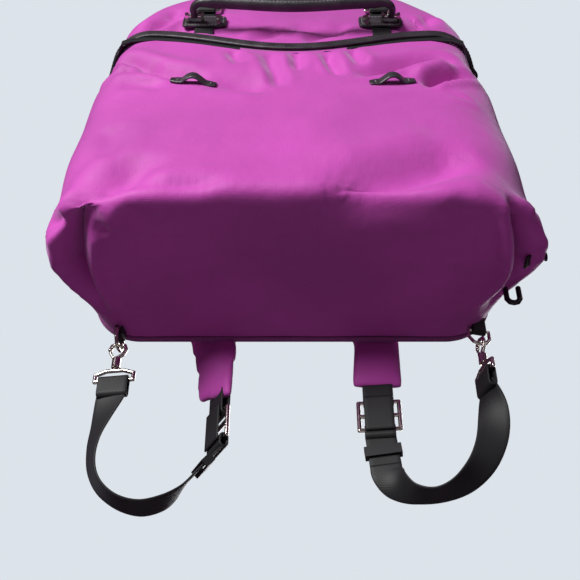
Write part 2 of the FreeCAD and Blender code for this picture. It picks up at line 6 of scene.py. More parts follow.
import bmesh
import bpy
import numpy as np
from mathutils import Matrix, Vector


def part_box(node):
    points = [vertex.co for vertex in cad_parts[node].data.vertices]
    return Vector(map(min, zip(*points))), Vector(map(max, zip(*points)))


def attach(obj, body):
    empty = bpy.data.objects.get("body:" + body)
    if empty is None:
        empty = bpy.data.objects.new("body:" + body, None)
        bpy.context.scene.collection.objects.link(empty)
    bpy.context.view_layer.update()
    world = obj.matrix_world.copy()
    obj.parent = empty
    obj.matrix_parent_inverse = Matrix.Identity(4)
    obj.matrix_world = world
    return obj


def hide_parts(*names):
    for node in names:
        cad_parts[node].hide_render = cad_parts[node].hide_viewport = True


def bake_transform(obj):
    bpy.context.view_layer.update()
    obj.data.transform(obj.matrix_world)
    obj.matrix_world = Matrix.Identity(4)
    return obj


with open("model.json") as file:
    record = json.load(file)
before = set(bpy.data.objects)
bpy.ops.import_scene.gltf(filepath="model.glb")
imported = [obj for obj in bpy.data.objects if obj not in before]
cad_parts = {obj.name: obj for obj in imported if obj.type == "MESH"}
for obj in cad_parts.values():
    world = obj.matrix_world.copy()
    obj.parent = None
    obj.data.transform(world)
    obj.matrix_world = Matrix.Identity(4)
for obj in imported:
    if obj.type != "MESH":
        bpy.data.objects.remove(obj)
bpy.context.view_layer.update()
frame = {"nodes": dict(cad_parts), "record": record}

bl_info = {
    "name": "Racket backpack",
    "version": (1, 0, 0),
    "blender": (4, 5, 0),
    "location": "3D View > Sidebar > Backpack",
    "description": "Cloth, leather, webbing and metal of a racket backpack",
    "category": "Object",
}

# ---- driving dimensions, millimetres; heights h are above the base -----------
MM = 0.001
BASE_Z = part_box("pocket_base")[0].z / MM
SIDE_TOP = 262.0
BACK = (169.0, 40.0, 172.0)      # half width, corner radius and arch radius of the back outline
MID = (194.0, 30.0, 178.0)       # the zip plane's outline
FRONT = (168.0, 14.0, 160.0)     # the front plane's outline
MID_Y, MID_LEAN = -95.0, 0.12
FRONT_Y, FRONT_LEAN = -178.0, 0.24
ZIP_END = 1.785                  # place on the outline where the lower zip ends
CLOTH = 1.4
WELD_GAP = 0.02                  # points nearer than this are one
TAB_X, TAB_H, TAB_TILT = 86.0, 176.0, 9.0
STRAP_X = 85.0                   # the front straps, the rings and the handle's patches
SIDES = (("left", -1.0), ("right", 1.0))


# ---- arrays and meshes ---------------------------------------------------------
def smooth(t):
    """Rises from 0 to 1 with level ends: 3t^2 - 2t^3 of t held between 0 and 1."""
    t = np.clip(t, 0.0, 1.0)
    return t * t * (3 - 2 * t)


def unit(v):
    """Each vector divided by its length."""
    return v / np.maximum(np.linalg.norm(v, axis=-1, keepdims=True), 1e-9)


def quads(rows, cols, start=0, closed=False):
    """Corner numbers of the squares between neighbouring rows and columns of a grid."""
    nxt = np.arange(cols) if closed else np.arange(cols - 1)
    i = np.arange(rows - 1)[:, None] * cols
    a, b = i + nxt, i + (nxt + 1) % cols
    return np.stack([a, b, b + cols, a + cols], -1).reshape(-1, 4) + start


def make_mesh(name, points, faces, uv=None):
    """An object from points in millimetres (x, y, h) and a list of faces."""
    mesh = bpy.data.meshes.new(name)
    place = points.reshape(-1, 3) * MM
    place[:, 2] += BASE_Z * MM
    mesh.from_pydata(place.tolist(), [], [tuple(f) for f in faces])
    if uv is not None:
        layer = mesh.uv_layers.new(name="cloth")
        corner = np.zeros(len(mesh.loops), np.int32)
        mesh.loops.foreach_get("vertex_index", corner)
        layer.data.foreach_set("uv", (uv.reshape(-1, 2)[corner] * MM).ravel())
    mesh.polygons.foreach_set("use_smooth", np.ones(len(mesh.polygons), bool))
    mesh.update()
    obj = bpy.data.objects.new(name, mesh)
    bpy.context.scene.collection.objects.link(obj)
    return obj


def weld(obj):
    """Merges points that fall together and turns every face outwards."""
    bm = bmesh.new()
    bm.from_mesh(obj.data)
    bmesh.ops.remove_doubles(bm, verts=bm.verts, dist=WELD_GAP * MM)
    bmesh.ops.dissolve_degenerate(bm, edges=bm.edges, dist=WELD_GAP * MM * 0.5)
    bmesh.ops.recalc_face_normals(bm, faces=bm.faces)
    bm.to_mesh(obj.data)
    bm.free()
    obj.data.polygons.foreach_set("use_smooth", np.ones(len(obj.data.polygons), bool))


def read_points(obj):
    """Points (x, y, h) in millimetres and unit normals of a mesh."""
    n = len(obj.data.vertices)
    co, nor = np.zeros(n * 3), np.zeros(n * 3)
    obj.data.vertices.foreach_get("co", co)
    obj.data.vertex_normals.foreach_get("vector", nor)
    p = co.reshape(-1, 3) / MM
    p[:, 2] -= BASE_Z
    return p, nor.reshape(-1, 3)


def write_points(obj, p):
    """Puts points (x, y, h) in millimetres back into the mesh."""
    co = p.copy()
    co[:, 2] += BASE_Z
    obj.data.vertices.foreach_set("co", (co * MM).ravel())
    obj.data.update()


def join(name, objs):
    """One object from several, with their UV layers kept."""
    with bpy.context.temp_override(active_object=objs[0], selected_editable_objects=objs):
        bpy.ops.object.join()
    objs[0].name = name
    objs[0].data.name = name
    return objs[0]


def thicken(obj):
    """Gives a sheet the cloth's wall, on its inner side, with a Solidify modifier."""
    mod = obj.modifiers.new("wall", "SOLIDIFY")
    mod.thickness = CLOTH * MM
    mod.offset = -1.0
    return obj


def curve(stations, per_span):
    """Catmull-Rom curve through the stations: each span is the cubic with the neighbours' mean slopes."""
    s = np.asarray(stations, float)
    ends = np.vstack([2 * s[:1] - s[1:2], s, 2 * s[-1:] - s[-2:-1]])
    t = (np.arange(per_span) / per_span)[None, :, None]
    a, b, c, d = (ends[k:len(s) - 1 + k][:, None, :] for k in range(4))
    p = 0.5 * (2 * b + (c - a) * t + (2 * a - 5 * b + 4 * c - d) * t ** 2 + (3 * b - 3 * c + d - a) * t ** 3)
    return np.vstack([p.reshape(-1, s.shape[1]), s[-1:]])


def slopes(path, closed=False):
    """Unit direction along a path."""
    if closed:
        return unit(np.roll(path, -1, 0) - np.roll(path, 1, 0))
    return unit(np.gradient(path, axis=0))


def run_of(path):
    """Length along a path at each of its points."""
    return np.concatenate([[0], np.cumsum(np.linalg.norm(np.diff(path, axis=0), axis=1))])


def at_run(s, run, values):
    """Values given along a path, read off at the lengths s."""
    return np.stack([np.interp(s, run, values[:, k]) for k in range(3)], -1)


def sweep(name, path, across, out, profile, closed=False, size=None):
    """A closed profile (across, out), times size, carried along a path; each end is one face."""
    n, m = len(path), len(profile)
    k = np.ones(n) if size is None else size
    shaped = profile[None] * k[:, None, None]
    p = path[:, None] + across[:, None] * shaped[..., :1] + out[:, None] * shaped[..., 1:]
    run = run_of(path)
    rim = run_of(profile)
    uv = np.stack(np.broadcast_arrays(run[:, None], rim[None, :]), -1)
    faces = quads(n, m, closed=True).tolist()
    if closed:
        last = (n - 1) * m
        ring = np.arange(m)
        faces += np.stack([last + ring, last + (ring + 1) % m, (ring + 1) % m, ring], -1).tolist()
    else:
        faces += [list(range(m)), list(range((n - 1) * m, n * m))]
    obj = make_mesh(name, p, faces, uv)
    weld(obj)
    return obj


def strap_profile(width, thick, round_by=0.45):
    """A flat strap's section: a rectangle whose short sides are bowed."""
    w, t = width / 2, thick / 2
    e = min(thick * round_by, w / 2)
    xs = np.linspace(-w + e, w - e, 9)
    top = np.stack([xs, np.full(9, t)], -1)
    right = np.array([[w - e * 0.3, t * 0.7], [w, 0.0], [w - e * 0.3, -t * 0.7]])
    return np.vstack([top, right, -top, -right])


def round_profile(rx, ry, n, power=2.0):
    """A superellipse section: |x/rx|^power + |y/ry|^power = 1."""
    a = np.linspace(0, 2 * np.pi, n, endpoint=False)
    c, s = np.cos(a), np.sin(a)
    k = 2.0 / power
    return np.stack([rx * np.sign(c) * np.abs(c) ** k, ry * np.sign(s) * np.abs(s) ** k], -1)


def plate(name, rim, normal, thick, edge, crown=0.0):
    """A flat piece from a rim of points: layers step in by the edge's round, then close on the middle."""
    centre = rim.mean(0)
    n = np.asarray(normal, float)
    reach = np.linalg.norm(rim - centre, axis=1).mean()
    steps = [(0.0, 0.0), (0.0, thick - edge), (0.3 * edge, thick - 0.3 * edge), (edge, thick)]
    layers = [(1 - d / reach, up) for d, up in steps]
    layers += [(0.6, thick + 0.7 * crown), (0.25, thick + crown), (0.0, thick + crown)]
    p = np.stack([centre + (rim - centre) * k + n * up for k, up in layers])
    m = len(rim)
    faces = quads(len(layers), m, closed=True).tolist() + [list(range(m))]
    obj = make_mesh(name, p, faces, p[..., [0, 2]])
    weld(obj)
    return obj


def rounded_rim(half_w, half_t, corner):
    """Points round a rectangle with round corners."""
    a = np.linspace(0, np.pi / 2, 8)
    parts = []
    for k, (sx, sy) in enumerate([(1, 1), (-1, 1), (-1, -1), (1, -1)]):
        t = a + k * np.pi / 2
        parts.append(np.stack([sx * (half_w - corner) + corner * np.cos(t),
                               sy * (half_t - corner) + corner * np.sin(t)], -1))
    return np.vstack(parts)


def scatter(name, shape, faces, at, ax, ay, az):
    """Copies of one small shape, each set in its own frame: point = at + x ax + y ay + z az."""
    p = at[:, None] + ax[:, None] * shape[None, :, :1] + ay[:, None] * shape[None, :, 1:2]
    p = p + az[:, None] * shape[None, :, 2:]
    k = len(shape)
    all_faces = (np.asarray(faces)[None] + (np.arange(len(at)) * k)[:, None, None]).reshape(-1, len(faces[0]))
    return make_mesh(name, p, all_faces.tolist(), np.zeros((len(at) * k, 2)))


def bead(length, width, height):
    """A lozenge: four rings of six points, its narrow ends closed by quads."""
    a = np.linspace(0, 2 * np.pi, 6, endpoint=False)
    rings = [(-0.5, 0.35), (-0.28, 1.0), (0.28, 1.0), (0.5, 0.35)]
    p = [np.stack([np.full(6, x * length), np.cos(a) * width / 2 * r, np.sin(a) * height / 2 * r], -1)
         for x, r in rings]
    faces = quads(4, 6, closed=True).tolist()
    faces += [[0, 1, 2, 3], [0, 3, 4, 5], [18, 21, 20, 19], [18, 23, 22, 21]]
    return np.vstack(p), faces


def stitches(name, path, out, pitch, length, thick):
    """Thread laid along a path: one lozenge each pitch, lying on the surface."""
    run = run_of(path)
    s = np.arange(pitch / 2, run[-1], pitch)
    at = at_run(s, run, path)
    up = unit(at_run(s, run, out))
    along = unit(at_run(s, run, slopes(path)))
    shape, faces = bead(length, thick, thick)
    return scatter(name, shape, faces, at, along, unit(np.cross(up, along)), up)


# ---- the bag's form --------------------------------------------------------------
def outline(u, half, corner, arch):
    """Half outline to each side of the middle: |u| 0-1 is the base line, 1-2 the corner's quarter circle,
    2-3 the straight side and 3-4 the quarter of the top arch. Gives x and height."""
    a = np.abs(u)
    bend = np.clip(a - 1, 0, 1) * np.pi / 2
    rise = np.clip(a - 2, 0, 1)
    top = np.clip(a - 3, 0, 1) * np.pi / 2
    x = np.clip(a, 0, 1) * (half - corner) + corner * np.sin(bend)
    x = x + (arch - half) * rise + arch * (np.cos(top) - 1)
    h = corner * (1 - np.cos(bend)) + (SIDE_TOP - corner) * rise + arch * np.sin(top)
    return np.sign(u) * x, h


def mid_y(h):
    """Depth of the zip plane, a straight line in height."""
    return MID_Y + MID_LEAN * h


def front_y(h):
    """Depth of the front plane, a straight line in height."""
    return FRONT_Y + FRONT_LEAN * h


def band_height(x):
    """Lower edge of the leather band: cosine waves, low in the middle, high at 138, dropping at the sides."""
    a = np.abs(x)
    inner = 243.0 + 31.0 * (1 - np.cos(np.pi * a / 138.0)) / 2
    outer = 274.0 - 38.0 * (1 - np.cos(np.pi * np.clip((a - 138.0) / 62.0, 0, 1))) / 2
    return np.where(a < 138.0, inner, outer)


def set_depth(x, lam, h):
    """Points from x, height and depth share: lam is -1 at the back, 0 at the zip and 1 at the front plane.
    The front is bowed, so its lower corners stand back."""
    m, f = mid_y(h), front_y(h)
    bow = 15.0 * np.clip(np.abs(x) / 165.0, 0, 1.1) ** 4 * np.clip(1 - h / 300.0, 0, 1)
    y = np.where(lam < 0, m * (1 + lam), m + (f - m) * lam + bow * np.clip(lam, 0, 1) ** 2)
    return np.stack([x, y, h], -1)


def side_limit(h):
    """Half width of the flat front patch, inside the round edge."""
    return 168.0 - 8.0 * (h - 14.0) / 248.0 - 30.0


def front_strip(u, cols, edge, rear_cols=0):
    """Side of the front half, row by row along u. From the zip it runs straight towards the front outline,
    then a quadratic curve with that outline as its middle control point rounds on to the front patch."""
    mx, mh = outline(u, *MID)
    fx, fh = outline(u, *FRONT)
    over = np.abs(u) > 3
    bh = np.where(over, SIDE_TOP + (fh - SIDE_TOP) * 130.0 / 160.0, np.maximum(fh, 18.0))
    bx = np.where(over, fx * 130.0 / 160.0, np.sign(u) * np.minimum(np.abs(fx), side_limit(bh)))
    share = 0.22 + 0.16 * smooth((np.abs(u) - 1.2) / 0.8)
    ax, al, ah = fx + (mx - fx) * share, 1 - share, fh + (mh - fh) * share
    n1 = cols // 2
    t = np.linspace(0, 1, n1, endpoint=False)[None]
    start = edge[:, None]
    lam1 = start + (al[:, None] - start) * t
    k = (lam1 / al[:, None])
    x1 = mx[:, None] + (ax - mx)[:, None] * k
    h1 = mh[:, None] + (ah - mh)[:, None] * k
    s = np.linspace(0, 1, cols - n1)[None]
    w0, w1, w2 = (1 - s) ** 2, 2 * s * (1 - s), s ** 2
    x2 = w0 * ax[:, None] + w1 * fx[:, None] + w2 * bx[:, None]
    lam2 = w0 * al[:, None] + w1 + w2
    h2 = w0 * ah[:, None] + w1 * fh[:, None] + w2 * bh[:, None]
    parts = [np.concatenate([a, b], 1) for a, b in ((x1, x2), (lam1, lam2), (h1, h2))]
    if rear_cols:
        rear = rear_strip(u, np.linspace(-1, 0, rear_cols, endpoint=False))
        parts = [np.concatenate([a, b], 1) for a, b in zip(rear, parts)]
    return parts


def rear_strip(u, lam):
    """Side of the rear half: straight lines from the back outline to the zip's outline."""
    kx, kh = outline(u, *BACK)
    mx, mh = outline(u, *MID)
    r = 1 + lam[None]
    return [kx[:, None] + (mx - kx)[:, None] * r, np.broadcast_to(lam[None], (len(u), len(lam))).copy(),
            kh[:, None] + (mh - kh)[:, None] * r]


def grid_uv(p):
    """Cloth coordinates of a grid: the mean length along its rows and along its columns."""
    row = np.linalg.norm(np.diff(p, axis=0), axis=2).mean(1)
    col = np.linalg.norm(np.diff(p, axis=1), axis=2)
    a = np.concatenate([[0], np.cumsum(row)])
    b = np.concatenate([np.zeros((len(p), 1)), np.cumsum(col, 1)], 1)
    return np.stack([np.broadcast_to(a[:, None], b.shape), b], -1)


def sheet_from(name, grids, masks):
    """One mesh from several grids whose shared edges fall together; a mask leaves squares out."""
    points, uvs, faces, start = [], [], [], 0
    for g, mask in zip(grids, masks):
        rows, cols = g.shape[:2]
        q = quads(rows, cols, start).reshape(rows - 1, cols - 1, 4)
        faces += (q[mask] if mask is not None else q.reshape(-1, 4)).tolist()
        points.append(g.reshape(-1, 3))
        uvs.append(grid_uv(g).reshape(-1, 2))
        start += rows * cols
    obj = make_mesh(name, np.vstack(points), faces, np.vstack(uvs))
    weld(obj)
    bm = bmesh.new()
    bm.from_mesh(obj.data)
    loose = [v for v in bm.verts if not v.link_faces]
    bmesh.ops.delete(bm, geom=loose, context="VERTS")
    bm.to_mesh(obj.data)
    bm.free()
    return obj


def crease(p, stations, width, depth, skew=0.0):
    """How far a fold moves each point outwards: -depth at the fold's line, fading as a bell across it,
    with low shoulders beside it, and tapering to nothing at both ends. skew makes its lower side steeper."""
    line = curve([s if len(s) == 3 else on_front(*s) for s in stations], 8)
    gap = p[:, None] - line[None]
    near = np.argmin((gap ** 2).sum(-1), 1)
    d = gap[np.arange(len(p)), near]
    dist = np.linalg.norm(d, axis=1) / (width * (1 + skew * np.sign(d[:, 2])))
    run = near / (len(line) - 1)
    taper = smooth(run / 0.3) * smooth((1 - run) / 0.3)
    end = (near == 0) | (near == len(line) - 1)
    taper = np.where(end, 0.0, np.maximum(taper, 0.0))
    bell = np.exp(-dist ** 2) - 0.26 * np.exp(-((dist - 2.1) / 0.9) ** 2)
    return -depth * taper * bell


def on_front(x, h):
    """A station on the front plane."""
    return (x, front_y(h), h)


# folds of the front cloth: stations, half width, depth (negative stands out), skew;
# a station is (x, h) on the front plane, or (x, y, h)
POCKET_FOLDS = [
    ([(-172, 232), (-152, 226), (-132, 212), (-112, 206)], 7.0, 12.2, 0.3),
    ([(-140, 206), (-118, 196), (-96, 188), (-66, 184)], 8.0, 13.3, 0.35),
    ([(-178, 196), (-164, 194), (-150, 200), (-138, 204)], 5.0, 11.3, 0.3),
    ([(-158, 178), (-132, 178), (-108, 170)], 7.0, 4.7, 0.0),
    ([(-82, 176), (-50, 172), (-14, 160)], 13.0, 7.5, 0.2),
    ([(-24, 244), (-20, 214), (-14, 186), (-12, 160)], 6.0, 6.8, 0.0),
    ([(2, 244), (4, 220), (4, 196)], 5.0, 5.6, 0.0),
    ([(30, 246), (34, 214), (44, 186)], 5.0, 7.9, 0.0),
    ([(54, 252), (58, 226), (62, 208)], 5.0, 5.6, 0.0),
    ([(-56, 250), (-52, 228), (-46, 206)], 5.5, 5.3, 0.0),
    ([(48, 190), (78, 198), (106, 214), (134, 218), (150, 206)], 8.0, 12.2, 0.35),
    ([(112, 172), (126, 180), (146, 191), (172, 196)], 8.0, 18.9, 0.4),
    ([(100, 186), (126, 199), (150, 208)], 6.0, -5.6, 0.0),
    ([(132, 158), (148, 150), (166, 138)], 4.0, 4.9, 0.0),
    ([(-160, 0), (-146, 10), (-126, 26), (-98, 52)], 15.0, 13.3, 0.1),
    ([(14, 0), (52, 8), (88, 24), (120, 46), (142, 66)], 18.0, 13.3, 0.1),
    ([(-130, 14), (-90, 10), (-44, 12)], 8.0, 4.9, 0.0),
    ([(-150, 110), (-146, 80), (-150, 50)], 12.0, 5.6, 0.0),
    # pinched corners of the base, and the small tucks beside them
    ([(-150, -168, 12), (-158, -154, 4), (-163, -136, 0), (-167, -112, -1), (-169, -88, 0), (-164, -52, 0),
      (-154, -24, 2)], 6.5, 24.0, 0.0),
    ([(160, -166, 12), (168, -152, 4), (174, -134, 1), (178, -112, 2), (180, -88, 3), (174, -58, 3),
      (160, -28, 2)], 6.5, 24.0, 0.0),
    ([(-148, -162, 6), (-148, -146, 0), (-145, -126, 0)], 7.0, 10.0, 0.0),
    ([(-168, -146, 10), (-180, -134, 10), (-196, -118, 26)], 6.0, 10.0, 0.0),
    ([(-166, -156, 20), (-182, -144, 24), (-192, -132, 36)], 5.0, -3.0, 0.0),
    ([(176, -140, 12), (188, -124, 12), (196, -108, 24)], 6.0, 9.0, 0.0),
    ([(-120, -170, 4), (-112, -150, 0), (-100, -132, 0)], 12.0, 2.5, 0.0),
    ([(110, -168, 4), (124, -150, 0), (140, -138, 0)], 10.0, 2.5, 0.0),
]
TOP_FOLDS = [
    ([(-150, 292), (-128, 304), (-104, 326)], 6.0, 7.2, 0.2),
    ([(-140, 300), (-124, 322), (-112, 350)], 7.0, 7.2, 0.0),
    ([(-120, 286), (-96, 288), (-64, 280)], 6.0, 5.8, 0.3),
    ([(-40, 262), (-28, 274), (-10, 282)], 7.0, 4.3, 0.0),
    ([(8, 262), (26, 276), (56, 284)], 7.0, 5.1, 0.0),
    ([(-8, 296), (30, 292), (60, 300)], 9.0, 5.1, 0.0),
    ([(98, 284), (118, 300), (126, 326)], 7.0, 7.2, 0.2),
    ([(120, 294), (134, 312), (132, 340)], 6.0, 7.2, 0.0),
    ([(-70, 340), (-40, 356), (0, 360)], 12.0, 4.3, 0.0),
    ([(20, 384), (50, 372), (84, 360)], 12.0, 4.3, 0.0),
]


def ripple(p, size, depth, seed):
    """Slow unevenness of hand-sewn cloth: a few sine waves of about the given size, in fixed directions."""
    rng = np.random.default_rng(seed)
    total = np.zeros(len(p))
    for _ in range(7):
        way = unit(rng.normal(size=3)) / (size * rng.uniform(0.6, 1.6))
        total += np.sin(p @ way * 2 * np.pi + rng.uniform(0, 6.28))
    return total * depth / 3.0


def settle(obj, puff, folds, seed):
    """Moves each point along its normal by the crown of its panel, the folds and a slow ripple."""
    p, n = read_points(obj)
    fold = ripple(p, 70.0, 0.8, seed)
    for stations, width, depth, skew in folds:
        fold = fold + crease(p, stations, width, depth, skew)
    push = (puff(p) + fold * smooth(band_gap(p) / 12.0)) * (1 - 0.9 * hardware_near(p))
    write_points(obj, p + n * push[:, None])


def hardware_near(p):
    """1 where fittings are sewn flat on the front cloth, falling off as a bell round them."""
    x, h = np.abs(p[:, 0]) - TAB_X, p[:, 2]
    tab = np.exp(-(x / 28.0) ** 4 - ((h - TAB_H) / 11.0) ** 2)
    strap = np.exp(-(x / 17.0) ** 4) * smooth((h - 276.0) / 16.0)
    return np.where(depth_share(p) > 0.6, np.maximum(tab, strap), 0.0)


def band_gap(p):
    """Distance in height from the leather band's line."""
    return np.abs(p[:, 2] - band_height(p[:, 0]))


def depth_share(p):
    """0 at the zip plane, 1 at the front plane, -1 at the back."""
    m, f = mid_y(p[:, 2]), front_y(p[:, 2])
    return np.where(p[:, 1] > m, (m - p[:, 1]) / -m, (m - p[:, 1]) / (m - f))


def pocket_puff(p):
    """Crown of the front panel, the bulge of its side walls and the soft lower corners."""
    x, h = p[:, 0], p[:, 2]
    lam = np.clip(depth_share(p), -1, 1.1)
    front = smooth((lam - 0.75) / 0.25)
    edge = np.clip(1 - (x / 172.0) ** 2, 0, 1)
    crown = 2.5 * front * edge * np.sin(np.pi * np.clip((h + 6) / 236.0, 0, 1)) ** 0.8
    centre = 3.5 * front * np.exp(-((x - 20) / 34.0) ** 2) * np.exp(-((h - 70) / 46.0) ** 2)
    under_band = 1.5 * front * edge * np.exp(-((h - 222) / 14.0) ** 2)
    wall = 6.0 * np.sin(np.pi * np.clip(lam, 0, 1)) * smooth((h - 20) / 60.0) * smooth((240 - h) / 60.0)
    ear = 6.0 * np.exp(-((np.abs(x) - 186) / 15.0) ** 2) * np.exp(-((h - 16) / 24.0) ** 2)
    ear = ear * np.exp(-((p[:, 1] + 108) / 34.0) ** 2)
    sag = 3.0 * np.clip(1 - (x / 150.0) ** 2, 0, 1) * np.exp(-((h - 0) / 5.0) ** 2)
    sag = sag * np.sin(np.pi * np.clip(-p[:, 1] / 178.0, 0, 1))
    return crown + centre + under_band + wall + ear + sag


def top_puff(p):
    """Crown of the upper front and of the gusset beside it."""
    x, h = p[:, 0], p[:, 2]
    lam = np.clip(depth_share(p), 0, 1.1)
    front = smooth((lam - 0.75) / 0.25)
    r = np.sqrt(x ** 2 + (h - SIDE_TOP) ** 2) / 160.0
    crown = 2.0 * front * np.clip(1 - r ** 2, 0, 1) * smooth(band_gap(p) / 34.0)
    wall = 5.0 * np.sin(np.pi * np.clip(lam, 0, 1)) * smooth((h - 270) / 60.0)
    return crown + wall


def make_pocket_cloth(step):
    """Front panel, side walls and the whole base as one sheet, from the band down and back to the binding."""
    side = np.concatenate([np.linspace(3, 2, int(232 / step), endpoint=False),
                           np.linspace(2, 1, 18, endpoint=False)])
    limit = side_limit(18.0)
    cols = int(2 * limit / step)
    base_x = np.linspace(-limit, limit, cols + 1)
    inner = base_x / (FRONT[0] - FRONT[1])
    tail = np.linspace(1.0, inner[-1], 5, endpoint=False)
    u = np.concatenate([-side, -tail, inner, tail[::-1], side[::-1]])
    _, mh = outline(u, *MID)
    edge = smooth((mh - 14.0) / 8.0) * 3.8 / 83.0
    rear_cols = int(88 / step)
    x, lam, h = front_strip(u, int(104 / step), edge, rear_cols)
    rows = np.concatenate([[18.0], outline(side[::-1], *FRONT)[1]])
    rows = rows[rows >= 18.0]
    px = side_limit(rows)[:, None] * (base_x / limit)[None]
    ph = np.broadcast_to(rows[:, None], px.shape)
    grids, masks = [], []
    keep = np.ones((len(u) - 1, x.shape[1] - 1), bool)
    middle = np.abs(u[:-1] + u[1:]) / 2
    keep[middle > ZIP_END, :rear_cols] = False
    for gx, gl, gh, mask in ((x, lam, h, keep), (px, np.ones_like(px), ph, None)):
        lift = smooth((gh - 120.0) / (SIDE_TOP - 120.0))
        gh = gh + (band_height(gx) - 0.6 - SIDE_TOP) * lift * (gl > -0.01)
        grids.append(set_depth(gx, gl, gh))
        masks.append(mask)
    obj = sheet_from("pocket_cloth", grids, masks)
    settle(obj, pocket_puff, POCKET_FOLDS, 3)
    return obj


def make_top_cloth(step):
    """The cloth above the band: the strip between the zips and the upper front with its gusset."""
    u = np.concatenate([-np.linspace(3, 4, int(250 / step)), np.linspace(4, 3, int(250 / step))[1:]])
    edge = np.full(len(u), 3.8 / 70.0)
    x, lam, h = front_strip(u, int(90 / step), edge)
    bx, bh = x[:, -1], h[:, -1]
    r = np.linspace(0, 1, int(130 / step))[None]
    px = np.broadcast_to(bx[:, None], (len(u), r.shape[1]))
    ph = SIDE_TOP + (bh - SIDE_TOP)[:, None] * r
    grids = []
    for gx, gl, gh in ((x, lam, h), (px, np.ones_like(px), ph)):
        drop = 1 - smooth((gh - SIDE_TOP) / 90.0)
        gh = gh + (band_height(gx) + 2.0 - SIDE_TOP) * drop
        grids.append(set_depth(gx, gl, gh))
    obj = sheet_from("top_cloth", grids, [None, None])
    settle(obj, top_puff, TOP_FOLDS, 5)
    return obj


def gusset_puff(p):
    """Bulge of the rear side wall: a half sine from the back to the zip, fading in above the base."""
    return 4.0 * np.sin(np.pi * np.clip(-depth_share(p), 0, 1)) * smooth(p[:, 2] / 60.0)


def make_gusset_cloth(step):
    """Rear side wall, up both sides and over the top, a strip between the back and the zip."""
    climb = np.linspace(ZIP_END, 4, int(560 / step))
    u = np.concatenate([-climb, climb[::-1][1:]])
    parts = rear_strip(u, np.linspace(-1, -0.04, int(88 / step)))
    obj = sheet_from("gusset_cloth", [set_depth(*parts)], [None])
    settle(obj, gusset_puff, [], 7)
    return obj


# ---- materials --------------------------------------------------------------------
def colour(text):
    """An sRGB hex colour as linear RGBA."""
    c = np.array([int(text[i:i + 2], 16) for i in (1, 3, 5)]) / 255.0
    lin = np.where(c <= 0.04045, c / 12.92, ((c + 0.055) / 1.055) ** 2.4)
    return (*lin.tolist(), 1.0)


def add(tree, kind, inputs=None, into=None, **settings):
    """A node with its settings, its inputs linked from sockets or set to values, and its first output
    linked into a socket where one is given."""
    node = tree.nodes.new(kind)
    for key, value in settings.items():
        setattr(node, key, value)
    for key, value in (inputs or {}).items():
        if isinstance(value, bpy.types.NodeSocket):
            tree.links.new(value, node.inputs[key])
        else:
            node.inputs[key].default_value = value
    if into is not None:
        tree.links.new(node.outputs[0], into)
    return node


def begin(name, low, high, scale, **surface):
    """A new material: a Principled shader whose constants are set on its own sockets, and a colour that
    drifts between two near tones with a slow noise. Gives its coordinates too."""
    mat = bpy.data.materials.new(name)
    mat.use_nodes = True
    tree = mat.node_tree
    tree.nodes.clear()
    shader = add(tree, "ShaderNodeBsdfPrincipled", surface)
    add(tree, "ShaderNodeOutputMaterial", {"Surface": shader.outputs["BSDF"]})
    coord = add(tree, "ShaderNodeTexCoord").outputs
    noise = add(tree, "ShaderNodeTexNoise", {"Vector": coord["Object"], "Scale": scale, "Detail": 3.0})
    ramp = add(tree, "ShaderNodeValToRGB", {"Fac": noise.outputs["Fac"]}, shader.inputs["Base Color"])
    for end, place, text in zip(ramp.color_ramp.elements, (0.35, 0.65), (low, high)):
        end.position, end.color = place, colour(text)
    return mat, tree, shader.inputs, coord


def weave(tree, vector, thread):
    """Plain weave: two rows of waves at right angles, one thread (metres) apart, the higher one showing."""
    scale = math.pi / (10.0 * thread)
    across = add(tree, "ShaderNodeTexWave", {"Vector": vector, "Scale": scale, "Distortion": 0.3},
                 bands_direction="X")
    along = add(tree, "ShaderNodeTexWave", {"Vector": vector, "Scale": scale, "Distortion": 0.3},
                bands_direction="Y")
    return add(tree, "ShaderNodeMath", {0: across.outputs["Fac"], 1: along.outputs["Fac"]},
               operation="MAXIMUM").outputs[0]


def coated_nylon(name, low, high, rough=0.62):
    """Nylon 420-denier cloth, woven and coated: an even colour with a faint bluish sheen at grazing angles
    and slight puckers up to 2 cm wide. Threads are 0.5 mm apart, drawn at 1 mm so that they show."""
    mat, tree, surface, coord = begin(name, low, high, 7.0, **{
        "Sheen Weight": 0.3, "Sheen Roughness": 0.5, "Sheen Tint": (0.86, 0.84, 1.0, 1.0),
        "Specular IOR Level": 0.5})
    pucker = add(tree, "ShaderNodeTexNoise", {"Vector": coord["Object"], "Scale": 55.0, "Detail": 4.0})
    under = add(tree, "ShaderNodeBump", {"Height": pucker.outputs["Fac"], "Distance": 0.0011})
    add(tree, "ShaderNodeBump", {"Height": weave(tree, coord["UV"], 0.001), "Distance": 0.00007,
                                 "Normal": under.outputs["Normal"]}, surface["Normal"])
    add(tree, "ShaderNodeMapRange", {"Value": pucker.outputs["Fac"], "To Min": rough - 0.06,
                                     "To Max": rough + 0.08}, surface["Roughness"])
    return mat


def ribbed_webbing(name, low, high):
    """Polypropylene webbing, woven in a fine herringbone: near black, with ribs 1.6 mm apart
    that catch a grey sheen."""
    mat, tree, surface, coord = begin(name, low, high, 40.0, **{
        "Sheen Weight": 0.06, "Sheen Roughness": 0.5, "Roughness": 0.62,
        "Sheen Tint": (0.8, 0.85, 1.0, 1.0)})
    turned = add(tree, "ShaderNodeMapping", {"Vector": coord["UV"], "Rotation": (0, 0, 0.6)})
    ribs = add(tree, "ShaderNodeTexWave", {"Vector": turned.outputs["Vector"], "Scale": math.pi / 0.016,
                                           "Distortion": 0.6}, bands_direction="X")
    add(tree, "ShaderNodeBump", {"Height": ribs.outputs["Fac"], "Distance": 0.00006}, surface["Normal"])
    return mat


